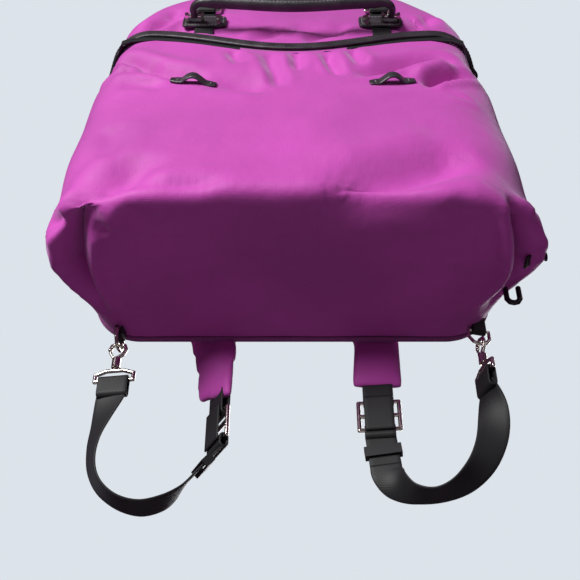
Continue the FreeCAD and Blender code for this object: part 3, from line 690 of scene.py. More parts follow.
def grained_leather(name, low, high):
    """Cowhide, dyed near black and waxed: pebbled grain about 1.2 mm across and soft wide highlights
    that turn duller in patches."""
    mat, tree, surface, coord = begin(name, low, high, 60.0, **{
        "Specular IOR Level": 0.55, "Coat Weight": 0.12, "Coat Roughness": 0.35})
    grain = add(tree, "ShaderNodeTexVoronoi", {"Vector": coord["Object"], "Scale": 1 / 0.0012})
    pores = add(tree, "ShaderNodeTexNoise", {"Vector": coord["Object"], "Scale": 90.0, "Detail": 5.0})
    under = add(tree, "ShaderNodeBump", {"Height": pores.outputs["Fac"], "Distance": 0.0006})
    add(tree, "ShaderNodeBump", {"Height": grain.outputs["Distance"], "Distance": 0.00018,
                                 "Normal": under.outputs["Normal"]}, surface["Normal"])
    add(tree, "ShaderNodeMapRange", {"Value": pores.outputs["Fac"], "To Min": 0.34, "To Max": 0.56},
        surface["Roughness"])
    return mat


def plated_metal(name, tint, rough):
    """Zinc die casting with bright nickel plate: mirror-like with dull scuffs and a faint cast ripple."""
    mat, tree, surface, coord = begin(name, tint[0], tint[1], 120.0, **{"Metallic": 1.0})
    scuff = add(tree, "ShaderNodeTexNoise", {"Vector": coord["Object"], "Scale": 260.0, "Detail": 4.0})
    add(tree, "ShaderNodeMapRange", {"Value": scuff.outputs["Fac"], "To Min": rough * 0.6,
                                     "To Max": rough * 1.7}, surface["Roughness"])
    add(tree, "ShaderNodeBump", {"Height": scuff.outputs["Fac"], "Distance": 0.00008}, surface["Normal"])
    return mat


def moulded_plastic(name, low, high, rough=0.45, grit=0.0008):
    """Acetal or polypropylene, injection moulded against a spark-eroded tool: fine even grit, soft gloss."""
    mat, tree, surface, coord = begin(name, low, high, 30.0, **{"Specular IOR Level": 0.5})
    grains = add(tree, "ShaderNodeTexNoise", {"Vector": coord["Object"], "Scale": 1 / grit, "Detail": 2.0})
    add(tree, "ShaderNodeBump", {"Height": grains.outputs["Fac"], "Distance": 0.00006}, surface["Normal"])
    add(tree, "ShaderNodeMapRange", {"Value": grains.outputs["Fac"], "To Min": rough - 0.08,
                                     "To Max": rough + 0.1}, surface["Roughness"])
    return mat


def closed_foam(name, low, high):
    """Cross-linked polyethylene foam, skived: pale grey, matt, with open pores about 1.5 mm across."""
    mat, tree, surface, coord = begin(name, low, high, 50.0, **{"Roughness": 0.9})
    pores = add(tree, "ShaderNodeTexVoronoi", {"Vector": coord["Object"], "Scale": 1 / 0.0015})
    add(tree, "ShaderNodeBump", {"Height": pores.outputs["Distance"], "Distance": 0.0005},
        surface["Normal"])
    return mat


def sewing_thread(name, low, high):
    """Bonded polyester thread, twisted: a slight shine and a 0.5 mm twist."""
    mat, tree, surface, coord = begin(name, low, high, 300.0, **{
        "Roughness": 0.5, "Sheen Weight": 0.2, "Sheen Roughness": 0.4})
    twist = add(tree, "ShaderNodeTexWave", {"Vector": coord["Object"], "Scale": math.pi / 0.005},
                bands_direction="DIAGONAL")
    add(tree, "ShaderNodeBump", {"Height": twist.outputs["Fac"], "Distance": 0.0001}, surface["Normal"])
    return mat


MATERIALS = {}


def material(key):
    """The finished material for a slot, made once with the colours of the panel."""
    if key not in MATERIALS:
        c = bpy.context.scene.backpack_colours
        make = {
            "nylon": lambda: coated_nylon("coated_nylon_420d", tone(c.nylon, 0.94), tone(c.nylon, 1.05)),
            "binding": lambda: coated_nylon("nylon_grosgrain_binding", tone(c.nylon, 0.66),
                                            tone(c.nylon, 0.74), 0.6),
            "lining": lambda: coated_nylon("nylon_taffeta_lining", tone(c.lining, 0.9),
                                           tone(c.lining, 1.1), 0.6),
            "webbing": lambda: ribbed_webbing("woven_webbing", tone(c.webbing, 0.8), tone(c.webbing, 1.25)),
            "zip_tape": lambda: ribbed_webbing("woven_zip_tape", tone(c.webbing, 0.9), tone(c.webbing, 1.2)),
            "leather": lambda: grained_leather("waxed_cowhide", tone(c.leather, 0.8), tone(c.leather, 1.3)),
            "nickel": lambda: plated_metal("nickel_plated_zinc", ("#D6D2C8", "#E6E3DB"), 0.16),
            "zip_metal": lambda: plated_metal("black_nickel_zinc", ("#1E1E21", "#2C2C30"), 0.3),
            "keeper": lambda: moulded_plastic("moulded_acetal", tone(c.webbing, 0.9), tone(c.webbing, 1.4)),
            "board": lambda: moulded_plastic("extruded_polyethylene_sheet", "#26272A", "#303135", 0.5, 0.003),
            "foam": lambda: closed_foam("skived_polyethylene_foam", "#A9A9AC", "#BDBDC0"),
            "filler": lambda: closed_foam("rubber_cord_filler", "#1A1A1B", "#242425"),
            "thread": lambda: sewing_thread("bonded_thread_grey", "#77757C", "#8F8D95"),
            "nylon_thread": lambda: sewing_thread("bonded_thread_magenta", tone(c.nylon, 0.85),
                                                  tone(c.nylon, 1.0)),
            "black_thread": lambda: sewing_thread("bonded_thread_black", "#141416", "#1E1E21"),
            "coil": lambda: moulded_plastic("coiled_nylon_teeth", "#101012", "#1A1A1D", 0.4),
        }[key]
        MATERIALS[key] = make()
    return MATERIALS[key]


def tone(rgb, k):
    """A panel colour made darker or lighter, as sRGB hex."""
    c = np.clip(np.array(rgb[:3]), 0, 1)
    s = np.where(c <= 0.0031308, c * 12.92, 1.055 * c ** (1 / 2.4) - 0.055)
    v = np.clip(np.round(s * k * 255), 0, 255).astype(int)
    return "#" + "".join(f"{i:02X}" for i in v)


def finish_piece(obj, key):
    """Puts the material on a piece."""
    obj.data.materials.clear()
    obj.data.materials.append(material(key))
    return obj


def dress(node, key):
    """Better material on a CAD node that keeps its shape."""
    obj = frame["nodes"][node]
    if not obj.material_slots:
        obj.data.materials.append(None)
    for slot in obj.material_slots:
        slot.material = material(key)


# ---- pads and straps ----------------------------------------------------------------
STRAPS = {
    # the pad's low end and how it turns, slants and shifts there, how far the webbing tucks into it,
    # adjuster (x, y, h, turn), end of the straight webbing, stations of the free loop, hook (x, y, turn),
    # the loop's half turns before the hook, and the height of the hook's eye
    "left": {
        "pad_low": -57.0, "pad_turn": 52.0, "slant": 7.0, "shift": 7.0, "tuck": 5.0, "twist": 0.0,
        "adjuster": (-60.0, 7.0, -72.0, 62.0), "run": (-80.5, 4.0, -132.0, 62.0),
        "loop": [(-81.5, 3.8, -133.2, 63.0), (-88.0, 2.0, -145.0, 74.0), (-99.0, -1.0, -155.0, 86.0),
                 (-115.0, -5.0, -161.0, 90.0), (-132.0, -9.0, -158.0, 88.0), (-146.0, -12.0, -147.0, 80.0),
                 (-153.0, -14.0, -131.0, 70.0), (-154.0, -14.0, -110.0, 58.0), (-150.0, -14.0, -88.0, 40.0)],
        "hook": (-145.0, -14.0, 8.0), "eye_h": -52.0,
    },
    "right": {
        "pad_low": -46.0, "pad_turn": 0.0, "slant": 0.0, "shift": 0.0, "tuck": 0.0, "twist": 180.0,
        "adjuster": (70.0, 7.0, -59.0, 6.0), "run": (72.2, 5.0, -119.0, 6.0),
        "loop": [(72.3, 4.9, -120.0, 6.0), (73.2, 4.2, -127.0, 14.0), (80.0, 2.0, -138.0, 42.0),
                 (93.0, -1.0, -147.0, 74.0), (110.0, -5.0, -150.0, 104.0), (128.0, -9.0, -143.0, 130.0),
                 (144.0, -12.0, -127.0, 150.0), (154.0, -14.0, -106.0, 172.0), (158.0, -14.0, -82.0, 206.0)],
        "hook": (156.0, -14.0, 76.0), "eye_h": -47.5,
    },
}
WIRE, WEB_T, WEB_W, ADJUSTER_TALL = 3.5, 2.0, 25.0, 26.0
WEB_PLY = WEB_T * 0.85           # one layer of webbing, pressed by its stitching
BAR_R = WIRE / 2 + 0.5           # inside of a webbing fold round a wire
FOLD = BAR_R + WEB_T
PAD_TOP, PAD_THICK, PAD_VOXEL = 404.0, 5.5, 4.0
RING_ABOVE_EYE = 46.3            # from the hook's eye up to the bar that the corner tab holds


def ribbon(name, stations, width=WEB_W):
    """Webbing through stations (x, y, h, turn): its width leans by turn from X towards -Y, across its run."""
    s = curve(stations, 12) if len(stations) > 2 else np.linspace(stations[0], stations[1], 14)
    path, a = s[:, :3], np.radians(s[:, 3])
    along = slopes(path)
    across = np.stack([np.cos(a), -np.sin(a), np.zeros(len(a))], -1)
    across = unit(across - along * (across * along).sum(1, keepdims=True))
    return sweep(name, path, across, np.cross(along, across), strap_profile(width, WEB_PLY))


def bar_wrap(name, x, y, h, turn, below=0.0, above=0.0, width=WEB_W, inner=BAR_R):
    """Webbing round a bar: two half circles and two straight runs, swept with the strap's section."""
    r = inner + WEB_PLY / 2 + 0.1
    a = np.linspace(0, np.pi, 12)
    up = np.stack([np.zeros(12), -r * np.cos(a), above + r * np.sin(a)], -1)
    down = np.stack([np.zeros(12), r * np.cos(a), -below - r * np.sin(a)], -1)
    ring = np.vstack([up, down]) if above + below > 0 else np.vstack([up, down[1:-1]])
    across = np.tile([1.0, 0, 0], (len(ring), 1))
    out = unit(np.cross(slopes(ring, True), across))
    t = math.radians(-turn)
    spin = np.array([[math.cos(t), -math.sin(t), 0], [math.sin(t), math.cos(t), 0], [0, 0, 1]])
    profile = strap_profile(width, WEB_PLY)
    return sweep(name, ring @ spin.T + (x, y, h), across @ spin.T, out @ spin.T, profile, True)


def pad_centre(h):
    """Centre line of the right pad, spreading outwards as a quarter sine on its way down."""
    return 50.0 + 22.0 * np.sin((PAD_TOP - h) / 456.0 * np.pi / 2)


def make_pad(name, spec, sign):
    """Closed sleeve: superellipse sections along the pad, drawn in at both ends, its low end turned."""
    low, high, shrink = spec["pad_low"], PAD_TOP, 1.6
    h = np.concatenate([low + 6 * smooth(np.linspace(0, 1, 5)), np.linspace(low + 12, high - 8, 60),
                        [high - 3, high]])
    pull = np.clip(np.minimum((h - low) / 7.0, (high - h) / 5.0), 0, 1)
    pull = 0.72 + 0.28 * np.sqrt(1 - (1 - pull) ** 2)
    half = (24.0 + 5.5 * np.clip((h - low) / 200.0, 0, 1)) - shrink
    ring = round_profile(1.0, 1.0, 40, 3.2)
    down = smooth((40.0 - h) / 90.0)
    turn = np.radians(spec["pad_turn"]) * down
    lx = ring[None, :, 0] * half[:, None] * (0.9 + 0.1 * pull[:, None])
    ly = ring[None, :, 1] * (PAD_THICK - 0.9) * pull[:, None]
    middle = (sign * pad_centre(h) + spec["shift"] * down)[:, None]
    x = middle + lx * np.cos(turn)[:, None] + ly * np.sin(turn)[:, None]
    y = 1.6 + PAD_THICK - lx * np.sin(turn)[:, None] + ly * np.cos(turn)[:, None]
    p = np.stack([x, y, h[:, None] + spec["slant"] * (-lx / 24.0) * down[:, None]], -1)
    n, m = p.shape[:2]
    faces = quads(n, m, closed=True).tolist() + [list(range(m)), list(range((n - 1) * m, n * m))]
    obj = make_mesh(name, p, faces)
    weld(obj)
    return obj


def inflate(obj, voxel, pressure, cap):
    """Swells a closed cloth: voxel remesh, smoothing, 20 frames of Cloth with pressure and no gravity,
    each point's travel capped, then one subdivision."""
    remesh = obj.modifiers.new("even", "REMESH")
    remesh.mode, remesh.voxel_size = "VOXEL", voxel * MM
    soften = obj.modifiers.new("soften", "SMOOTH")
    soften.factor, soften.iterations = 0.5, 6
    apply_modifiers(obj)
    before, _ = read_points(obj)
    cloth = obj.modifiers.new("swell", "CLOTH")
    cloth.settings.use_pressure = True
    cloth.settings.uniform_pressure_force = pressure
    cloth.settings.effector_weights.gravity = 0.0
    cloth.settings.quality = 5
    cloth.settings.tension_stiffness = 20.0
    cloth.settings.bending_stiffness = 2.0
    cloth.collision_settings.use_collision = False
    cloth.point_cache.frame_start, cloth.point_cache.frame_end = 1, 20
    for f in range(1, 21):
        bpy.context.scene.frame_set(f)
    apply_modifiers(obj)
    bpy.context.scene.frame_set(1)
    after, _ = read_points(obj)
    move = after - before
    far = np.linalg.norm(move, axis=1, keepdims=True)
    write_points(obj, before + move * np.minimum(1.0, cap / np.maximum(far, 1e-6)))
    sub = obj.modifiers.new("soft", "SUBSURF")
    sub.levels = sub.render_levels = 1
    apply_modifiers(obj)
    obj.data.polygons.foreach_set("use_smooth", np.ones(len(obj.data.polygons), bool))


def apply_modifiers(obj):
    """Replaces the mesh by what its modifiers give."""
    bpy.context.view_layer.update()
    graph = bpy.context.evaluated_depsgraph_get()
    fresh = bpy.data.meshes.new_from_object(obj.evaluated_get(graph), depsgraph=graph)
    old = obj.data
    obj.modifiers.clear()
    obj.data = fresh
    bpy.data.meshes.remove(old)
    fresh.name = obj.name


def hoop_line(lift_h, lam_in, stand_off):
    """A run along the band's course, lift_h above its lower edge: from the left zip over the front to the
    right zip, with its outward normal and the cloth's upward direction."""
    cols = 26
    x, lam, _ = front_strip(np.array([-3.0, 3.0]), cols, np.array([lam_in, lam_in]))
    flat = np.linspace(x[0, -1], x[1, -1], 65)[1:-1]
    gx = np.concatenate([x[0], flat, x[1][::-1]])
    gl = np.concatenate([lam[0], np.ones(len(flat)), lam[1][::-1]])
    gh = band_height(gx) + lift_h
    p = set_depth(gx, gl, gh)
    lean = MID_LEAN + (FRONT_LEAN - MID_LEAN) * gl
    up = unit(np.stack([np.zeros(len(gx)), lean, np.ones(len(gx))], -1))
    out = unit(np.cross(slopes(p), up))
    up = unit(np.cross(out, slopes(p)))
    return p + out * stand_off, out, up


def rim_line(spec, y, inset, n, u0, u1):
    """A run round an outline at one depth, with its outward normal."""
    u = np.linspace(u0, u1, n)
    half, corner, arch = spec
    x, h = outline(u, half, corner, arch)
    depth = y(h) if callable(y) else np.full(n, y)
    p = np.stack([x, depth, h], -1)
    t = slopes(p, u1 - u0 >= 8.0)
    out = unit(np.cross(t, np.array([0.0, 1.0, 0.0])))
    centre = np.array([0.0, 0.0, 200.0])
    flip = np.sign((out * (p - centre)).sum(1, keepdims=True))
    return p - out * flip * inset, out * flip


# ---- what the panel holds ------------------------------------------------------------
def shade(name, text, about):
    """A colour setting with an sRGB hex default."""
    return bpy.props.FloatVectorProperty(name=name, description=about, subtype="COLOR", size=3, min=0, max=1,
                                         default=colour(text)[:3])


class BackpackColours(bpy.types.PropertyGroup):
    """Colours of the dyed materials."""
    nylon: shade("Nylon", "#BC3FA9", "Outer cloth and the shoulder pads")
    lining: shade("Lining", "#4A1840", "Inside of the compartments")
    webbing: shade("Webbing", "#0C0D0F", "Straps, zip tape and moulded keepers")
    leather: shade("Leather", "#2E2A2F", "Band, handle and lash tabs")


class BackpackSizes(bpy.types.PropertyGroup):
    """Sizes of the cloth and its making."""
    cloth_step: bpy.props.FloatProperty(name="Cloth grid", description="Spacing of the cloth's points, mm",
                                        default=3.2, min=2.0, max=8.0)
    pad_pressure: bpy.props.FloatProperty(name="Pad pressure", default=4.0, min=0.0, max=10.0,
                                          description="Air pressure that swells the pads")
    pad_swell: bpy.props.FloatProperty(name="Pad swell", description="Furthest a pad's cloth may move, mm",
                                       default=2.2, min=0.0, max=6.0)
    stitch_pitch: bpy.props.FloatProperty(name="Stitch pitch", description="Length of one stitch, mm",
                                          default=3.4, min=2.0, max=8.0)


FRONT_NORMAL = unit(np.array([0.0, -1.0, FRONT_LEAN]))
FRONT_UP = unit(np.array([0.0, FRONT_LEAN, 1.0]))


def z_of(h):
    """Height in metres in the frame of a height in millimetres above the base."""
    return (BASE_Z + h) * MM


def flap_blend(obj):
    """Bakes the piece's placement into its points."""
    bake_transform(obj)


def pocket_blend(obj):
    """Bakes the piece's placement into its points."""
    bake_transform(obj)


def seat(cloth, x, h):
    """Depth of the cloth's face at x and h, found by looking back along +Y."""
    hit, place, _, _ = cloth.ray_cast((x * MM, -0.4, z_of(h)), (0, 1, 0))
    if not hit:
        raise RuntimeError(f"no cloth at {x}, {h}")
    return place.y / MM


class BACKPACK_OT_pocket(bpy.types.Operator):
    """Front racket compartment: one sheet of cloth from the band down the front and back under the base"""
    bl_idname = "backpack.pocket"
    bl_label = "Front compartment"

    def execute(self, context):
        cloth = make_pocket_cloth(context.scene.backpack_sizes.cloth_step)
        for name, sign in SIDES:
            make_lash_tab(name, sign, cloth)
        thicken(cloth)
        finish_piece(cloth, "nylon")
        pocket_blend(cloth)
        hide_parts("front_panel", "pocket_side_left", "pocket_side_right", "pocket_base",
                    "base_panel")
        return {"FINISHED"}


def make_lash_tab(name, sign, cloth):
    """A leather strip sewn flat at both ends and arched between them, seated on the cloth."""
    h0, x0, tilt = TAB_H, sign * TAB_X, math.radians(TAB_TILT)
    route = [(-20, 1.2), (-14.5, 1.2), (-11.0, 1.7), (-7.0, 4.4), (-3.0, 6.9), (1.0, 7.3), (5.0, 5.6),
             (9.5, 2.0), (13.0, 1.2), (20, 1.2)]
    s = curve([(a * sign, b) for a, b in route], 6)
    x = x0 + s[:, 0] * math.cos(tilt)
    h = h0 + sign * s[:, 0] * math.sin(tilt)
    ends = [seat(cloth, x[k], h[k]) for k in (0, -1)]
    y = np.interp(np.arange(len(x)), [0, len(x) - 1], ends)
    path = np.stack([x, y, h], -1) + FRONT_NORMAL * s[:, 1:]
    across = unit(FRONT_UP - slopes(path) * (slopes(path) @ FRONT_UP)[:, None])
    out = unit(np.cross(slopes(path), across))
    out = out * np.sign(out @ FRONT_NORMAL)[:, None]
    width = 0.72 + 0.28 * smooth((20.0 - np.abs(s[:, 0])) / 7.0)
    tab = sweep("lash_tab_strip_" + name, path, across, out, strap_profile(10.5, 2.3, 0.6), size=width)
    finish_piece(tab, "leather")
    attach(tab, "front_pocket")
    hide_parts("lash_tab_" + name)
    rows = []
    for k in (5, len(path) - 6):
        bar = path[k] + out[k] * 1.2 + across[k] * np.linspace(-2.8, 2.8, 8)[:, None]
        rows.append(stitches("tack", bar, np.tile(out[k], (8, 1)), 2.3, 1.8, 0.8))
    tacks = finish_piece(join("lash_tab_tacks_" + name, rows), "thread")
    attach(tacks, "front_pocket")


class BACKPACK_OT_body(bpy.types.Operator):
    """Upper front, rear gusset, back, binding, foam and lining"""
    bl_idname = "backpack.body"
    bl_label = "Bag body"

    def execute(self, context):
        step = context.scene.backpack_sizes.cloth_step
        top = finish_piece(thicken(make_top_cloth(step)), "nylon")
        flap_blend(top)
        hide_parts("front_bridge", "top_front_panel", "top_gusset")
        gusset = finish_piece(thicken(make_gusset_cloth(step)), "nylon")
        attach(gusset, "bag")
        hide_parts("rear_gusset")
        make_back()
        make_inside()
        return {"FINISHED"}


def make_back():
    """Quilted back panel, its binding and the patch and loop at its top."""
    u = np.linspace(-4, 4, 320, endpoint=False)
    x, h = outline(u, *BACK)
    k = np.concatenate([[1.0, 1.0], np.linspace(0.995, 0.0, 46)])[:, None]
    px, ph = x * k, 212.0 + (h - 212.0) * k
    spine = np.exp(-((np.abs(px) - 20.0) / 3.0) ** 2) * smooth((ph - 40) / 20) * smooth((380 - ph) / 20)
    rows = sum(np.exp(-((ph - c) / 3.0) ** 2) for c in (110.0, 200.0, 290.0))
    rows = rows * smooth((np.abs(px) - 18) / 4) * smooth((150 - np.abs(px)) / 12)
    y = -0.1 - 1.6 * np.maximum(spine, rows)
    y[0] = -2.4
    p = np.stack([px, y, ph], -1)
    n, m = p.shape[:2]
    back = make_mesh("back_cloth", p, quads(n, m, closed=True).tolist() + [list(range(m))], p[..., [0, 2]])
    weld(back)
    finish_piece(back, "nylon")
    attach(back, "bag")
    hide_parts("back_panel")
    path, out = rim_line(BACK, -3.1, -1.0, 300, -4.0, 4.0)
    path, out = path[:-1], out[:-1]
    depth = np.tile([0.0, 1.0, 0.0], (len(path), 1))
    binding = sweep("back_binding_tape", path, depth, out, round_profile(3.1, 1.5, 18, 2.8), True)
    finish_piece(binding, "binding")
    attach(binding, "bag")
    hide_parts("back_binding")
    seam = stitches("back_binding_seam", path + out * 1.45 - depth * 1.2, out, 3.6, 2.4, 0.55)
    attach(finish_piece(seam, "nylon_thread"), "bag")
    rim = rounded_rim(92.0, 13.5, 5.0)
    points = np.stack([rim[:, 0], np.full(len(rim), 0.2), 398.5 + rim[:, 1]], -1)
    yoke = plate("yoke_patch", points, (0, 1, 0), 1.2, 0.5)
    finish_piece(yoke, "nylon")
    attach(yoke, "bag")
    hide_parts("strap_yoke")
    inner = np.stack([rim[:, 0] * 0.96, np.full(len(rim), 1.35), 398.5 + rim[:, 1] * 0.74], -1)
    inner = np.vstack([inner, inner[:1]])
    seam = stitches("yoke_seam", inner, np.tile([0.0, 1.0, 0.0], (len(inner), 1)), 3.4, 2.3, 0.6)
    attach(finish_piece(seam, "nylon_thread"), "bag")
    a = np.linspace(0, np.pi, 24)
    top = -BASE_Z - 10.0
    arch = np.stack([-11.0 * np.cos(a), np.full(24, -13.0), top + 11.0 * np.sin(a)], -1)
    left = np.stack([np.full(14, -11.0), np.full(14, -13.0), np.linspace(top - 56, top - 2, 14)], -1)
    path = np.vstack([left, arch, left[::-1] * (-1, 1, 1)])
    across = np.tile([0.0, 1.0, 0.0], (len(path), 1))
    outwards = unit(np.cross(slopes(path), across))
    loop = sweep("hang_loop_webbing", path, across, outwards, strap_profile(14.0, 1.9))
    finish_piece(loop, "webbing")
    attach(loop, "bag")
    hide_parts("hang_loop")


def make_inside():
    """Foam behind the back panel, the divider and the shelf between the compartments."""
    u = np.linspace(-4, 4, 200, endpoint=False)
    x, h = outline(u, BACK[0] - 5, BACK[1] - 5, BACK[2] - 5)
    rim = np.stack([x, np.full(len(x), -3.1), h + 5 * np.cos(np.clip(np.abs(u) / 4, 0, 1) * np.pi / 2)], -1)
    foam = plate("back_foam_slab", rim, (0, -1, 0), 7.8, 1.5)
    finish_piece(foam, "foam")
    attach(foam, "bag")
    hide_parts("back_foam")
    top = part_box("divider_panel")[1].z / MM - BASE_Z - 1.0
    x, h = outline(u, MID[0] - 8, 72.0, MID[2] - 7)
    h = np.minimum(h + 5.0, top)
    x = np.where(h >= top, np.clip(x, -172, 172), x)
    rim = np.stack([x, mid_y(h) + 11.6, h], -1)
    divider = plate("divider_cloth", rim, unit(np.array([0.0, 1.0, -MID_LEAN])), 1.4, 0.5)
    finish_piece(divider, "lining")
    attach(divider, "bag")
    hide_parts("divider_panel")
    lam = np.array([-0.13, 0.0, 0.3, 0.5, 0.68, 0.82, 0.9])
    half = np.array([168.0, 169.0, 164.0, 157.0, 146.0, 128.0, 104.0])
    side = np.stack([half, mid_y(280.0) + (front_y(280.0) - mid_y(280.0)) * lam, np.full(7, 280.0)], -1)
    rim = np.vstack([side, (side * (-1, 1, 1))[::-1]])
    shelf = plate("shelf_cloth", rim, (0, 0, 1), 1.4, 0.5)
    finish_piece(shelf, "lining")
    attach(shelf, "bag")
    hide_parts("shelf_panel")


class BACKPACK_OT_trim(bpy.types.Operator):
    """Leather band across the front, zip teeth and the zip's end tabs"""
    bl_idname = "backpack.trim"
    bl_label = "Band and zips"

    def execute(self, context):
        path, out, up = hoop_line(6.4, 0.05, 1.7)
        band = sweep("leather_band_strip", path, up, out, round_profile(5.6, 1.7, 20, 3.2))
        finish_piece(band, "leather")
        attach(band, "bag")
        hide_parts("leather_band")
        path, out, up = hoop_line(6.4, 0.05, 3.3)
        pitch = context.scene.backpack_sizes.stitch_pitch
        rows = [stitches("row", path + up * k, out, pitch, pitch * 0.66, 0.6) for k in (-3.6, 3.6)]
        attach(finish_piece(join("leather_band_seams", rows), "black_thread"), "bag")
        teeth("pocket_teeth_rear", "bag", 1.0, [(-ZIP_END - 0.02, -2.93), (ZIP_END + 0.02, 2.93)])
        teeth("pocket_teeth_front", "front_pocket", -1.0, [(-ZIP_END - 0.02, -2.93), (ZIP_END + 0.02, 2.93)])
        teeth("main_teeth_rear", "bag", 1.0, [(3.13, 4.0), (-3.13, -4.0)])
        teeth("main_teeth_front", "top_flap", -1.0, [(3.26, 4.0), (-3.26, -4.0)])
        tabs = []
        for sign in (-1.0, 1.0):
            p, n = rim_line(MID, mid_y, -1.0, 16, sign * 1.4, sign * 1.72)
            across = np.tile([0.0, 1.0, 0.0], (len(p), 1))
            tabs.append(sweep("tab", p + (0, 1.2, 0), across, n, strap_profile(13.5, 1.7)))
        tabs = finish_piece(join("zip_end_webbing", tabs), "webbing")
        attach(tabs, "bag")
        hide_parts("zip_end_tabs")
        return {"FINISHED"}


def teeth(name, body, side, runs):
    """Half of a coil zip: one lozenge tooth each 2.6 mm beside the zip plane, level with the tape."""
    parts = []
    for u0, u1 in runs:
        p, out = rim_line(MID, mid_y, 0.4, 260, u0, u1)
        run = run_of(p)
        s = np.arange(1.0 + 0.65 * side, run[-1], 2.6)
        at = at_run(s, run, p)
        n = unit(at_run(s, run, out))
        across = np.tile([0.0, 1.0, 0.0], (len(s), 1))
        shape, faces = bead(3.2, 1.5, 1.9)
        beside = at + across * side * 1.7
        parts.append(scatter("teeth", shape, faces, beside, across, unit(np.cross(n, across)), n))
    obj = finish_piece(join(name, parts), "coil")
    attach(obj, body)


class BACKPACK_OT_handle(bpy.types.Operator):
    """Leather carry handle, its patches and the two straps on the upper front"""
    bl_idname = "backpack.handle"
    bl_label = "Handle"

    def execute(self, context):
        h, reach = 302.0, 94.0
        y0 = front_y(h) - 11.5
        bend = [(-reach, y0), (-reach - 0.5, y0 - 9), (-reach + 3, y0 - 16), (-reach + 12, y0 - 19.5),
                (-54, y0 - 20.5)]
        route = bend + [(-20, y0 - 21.0), (20, y0 - 21.0)] + [(-x, y) for x, y in bend[::-1]]
        s = curve(route, 9)
        droop = (5.0 + 8.0 * np.cos(s[:, 0] / 94.0 * np.pi / 2) ** 2) * smooth((y0 - s[:, 1]) / 20.0)
        path = np.stack([s[:, 0], s[:, 1], h - droop], -1)
        up = unit(np.array([0.0, 0.0, 1.0]) - slopes(path) * slopes(path)[:, 2:])
        out = unit(np.cross(slopes(path), up))
        out = out * np.sign(-out[len(out) // 2, 1])
        size = 0.62 + 0.38 * smooth((reach - 4 - np.abs(path[:, 0])) / 14.0)
        size = size + 0.03 * np.cos(path[:, 0] / 40.0)
        grip = sweep("handle_leather", path, up, out, round_profile(6.3, 5.8, 24, 2.5), size=size)
        finish_piece(grip, "leather")
        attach(grip, "handle")
        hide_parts("handle_grip")
        inside = np.abs(path[:, 0]) < 84
        filler = sweep("handle_cord", path[inside], up[inside], out[inside], round_profile(3.0, 3.0, 12))
        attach(finish_piece(filler, "filler"), "handle")
        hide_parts("handle_core")
        keep = np.abs(path[:, 0]) < 80
        way = unit(out * 0.86 - up * 0.5)
        seam = path[keep] + way[keep] * 6.0
        thread = stitches("handle_seam", seam, way[keep], 3.6, 2.6, 0.9)
        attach(finish_piece(thread, "thread"), "handle")
        make_patches()
        for name, sign in SIDES:
            make_front_strap(name, sign * STRAP_X)
        uppers = [strap_to_ring("upper", sign * STRAP_X, 405.0, 348.0) for _, sign in SIDES]
        uppers = finish_piece(join("upper_strap_webbing", uppers), "webbing")
        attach(uppers, "top_flap")
        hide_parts("upper_straps")
        return {"FINISHED"}


def make_patches():
    """Leather patches under the handle's ends, each with a row of stitches round its rim."""
    plates, seams = [], []
    for _, sign in SIDES:
        rim = rounded_rim(21.0, 11.5, 4.0)
        h = 304.5 + rim[:, 1]
        p = np.stack([sign * STRAP_X + rim[:, 0], front_y(h) - 2.7, h], -1)
        plates.append(plate("patch", p, FRONT_NORMAL, 2.3, 0.9, 0.2))
        c = p.mean(0)
        line = c + (p - c) * 0.86 + FRONT_NORMAL * 2.35
        line = np.vstack([line, line[:1]])
        seams.append(stitches("seam", line, np.tile(FRONT_NORMAL, (len(line), 1)), 3.2, 2.2, 0.7))
    plates = finish_piece(join("handle_patch_leather", plates), "leather")
    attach(plates, "top_flap")
    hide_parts("handle_patches")
    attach(finish_piece(join("handle_patch_seams", seams), "thread"), "top_flap")


def strap_to_ring(name, x, from_h, bar_h):
    """Webbing flat on the front from from_h to a ring bar, then round the bar towards the front."""
    way = 1.0 if from_h < bar_h else -1.0
    near = bar_h - way * 5.0
    flat_h = np.linspace(from_h, near, 16)
    flat = np.stack([np.full(16, x), front_y(flat_h) - 1.3, flat_h], -1)
    r = WIRE / 2 + 0.4 + 1.0
    centre_y = front_y(bar_h) - 0.3 - 2.0 - WIRE / 2 - 0.4
    a = np.linspace(0, 1.35 * np.pi, 20)
    bend = np.stack([np.full(20, x), centre_y + r * np.cos(a), bar_h + way * r * np.sin(a)], -1)
    path = np.vstack([flat, bend])
    across = np.tile([1.0, 0, 0], (len(path), 1))
    return sweep(name, path, across, unit(np.cross(slopes(path), across)), strap_profile(18.0, 1.8))


def make_front_strap(name, x):
    """Webbing from behind the leather band up to the ring."""
    strap = strap_to_ring("front_strap_webbing_" + name, x, 269.0, 332.0)
    finish_piece(strap, "webbing")
    flap_blend(strap)
    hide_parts("front_strap_" + name)


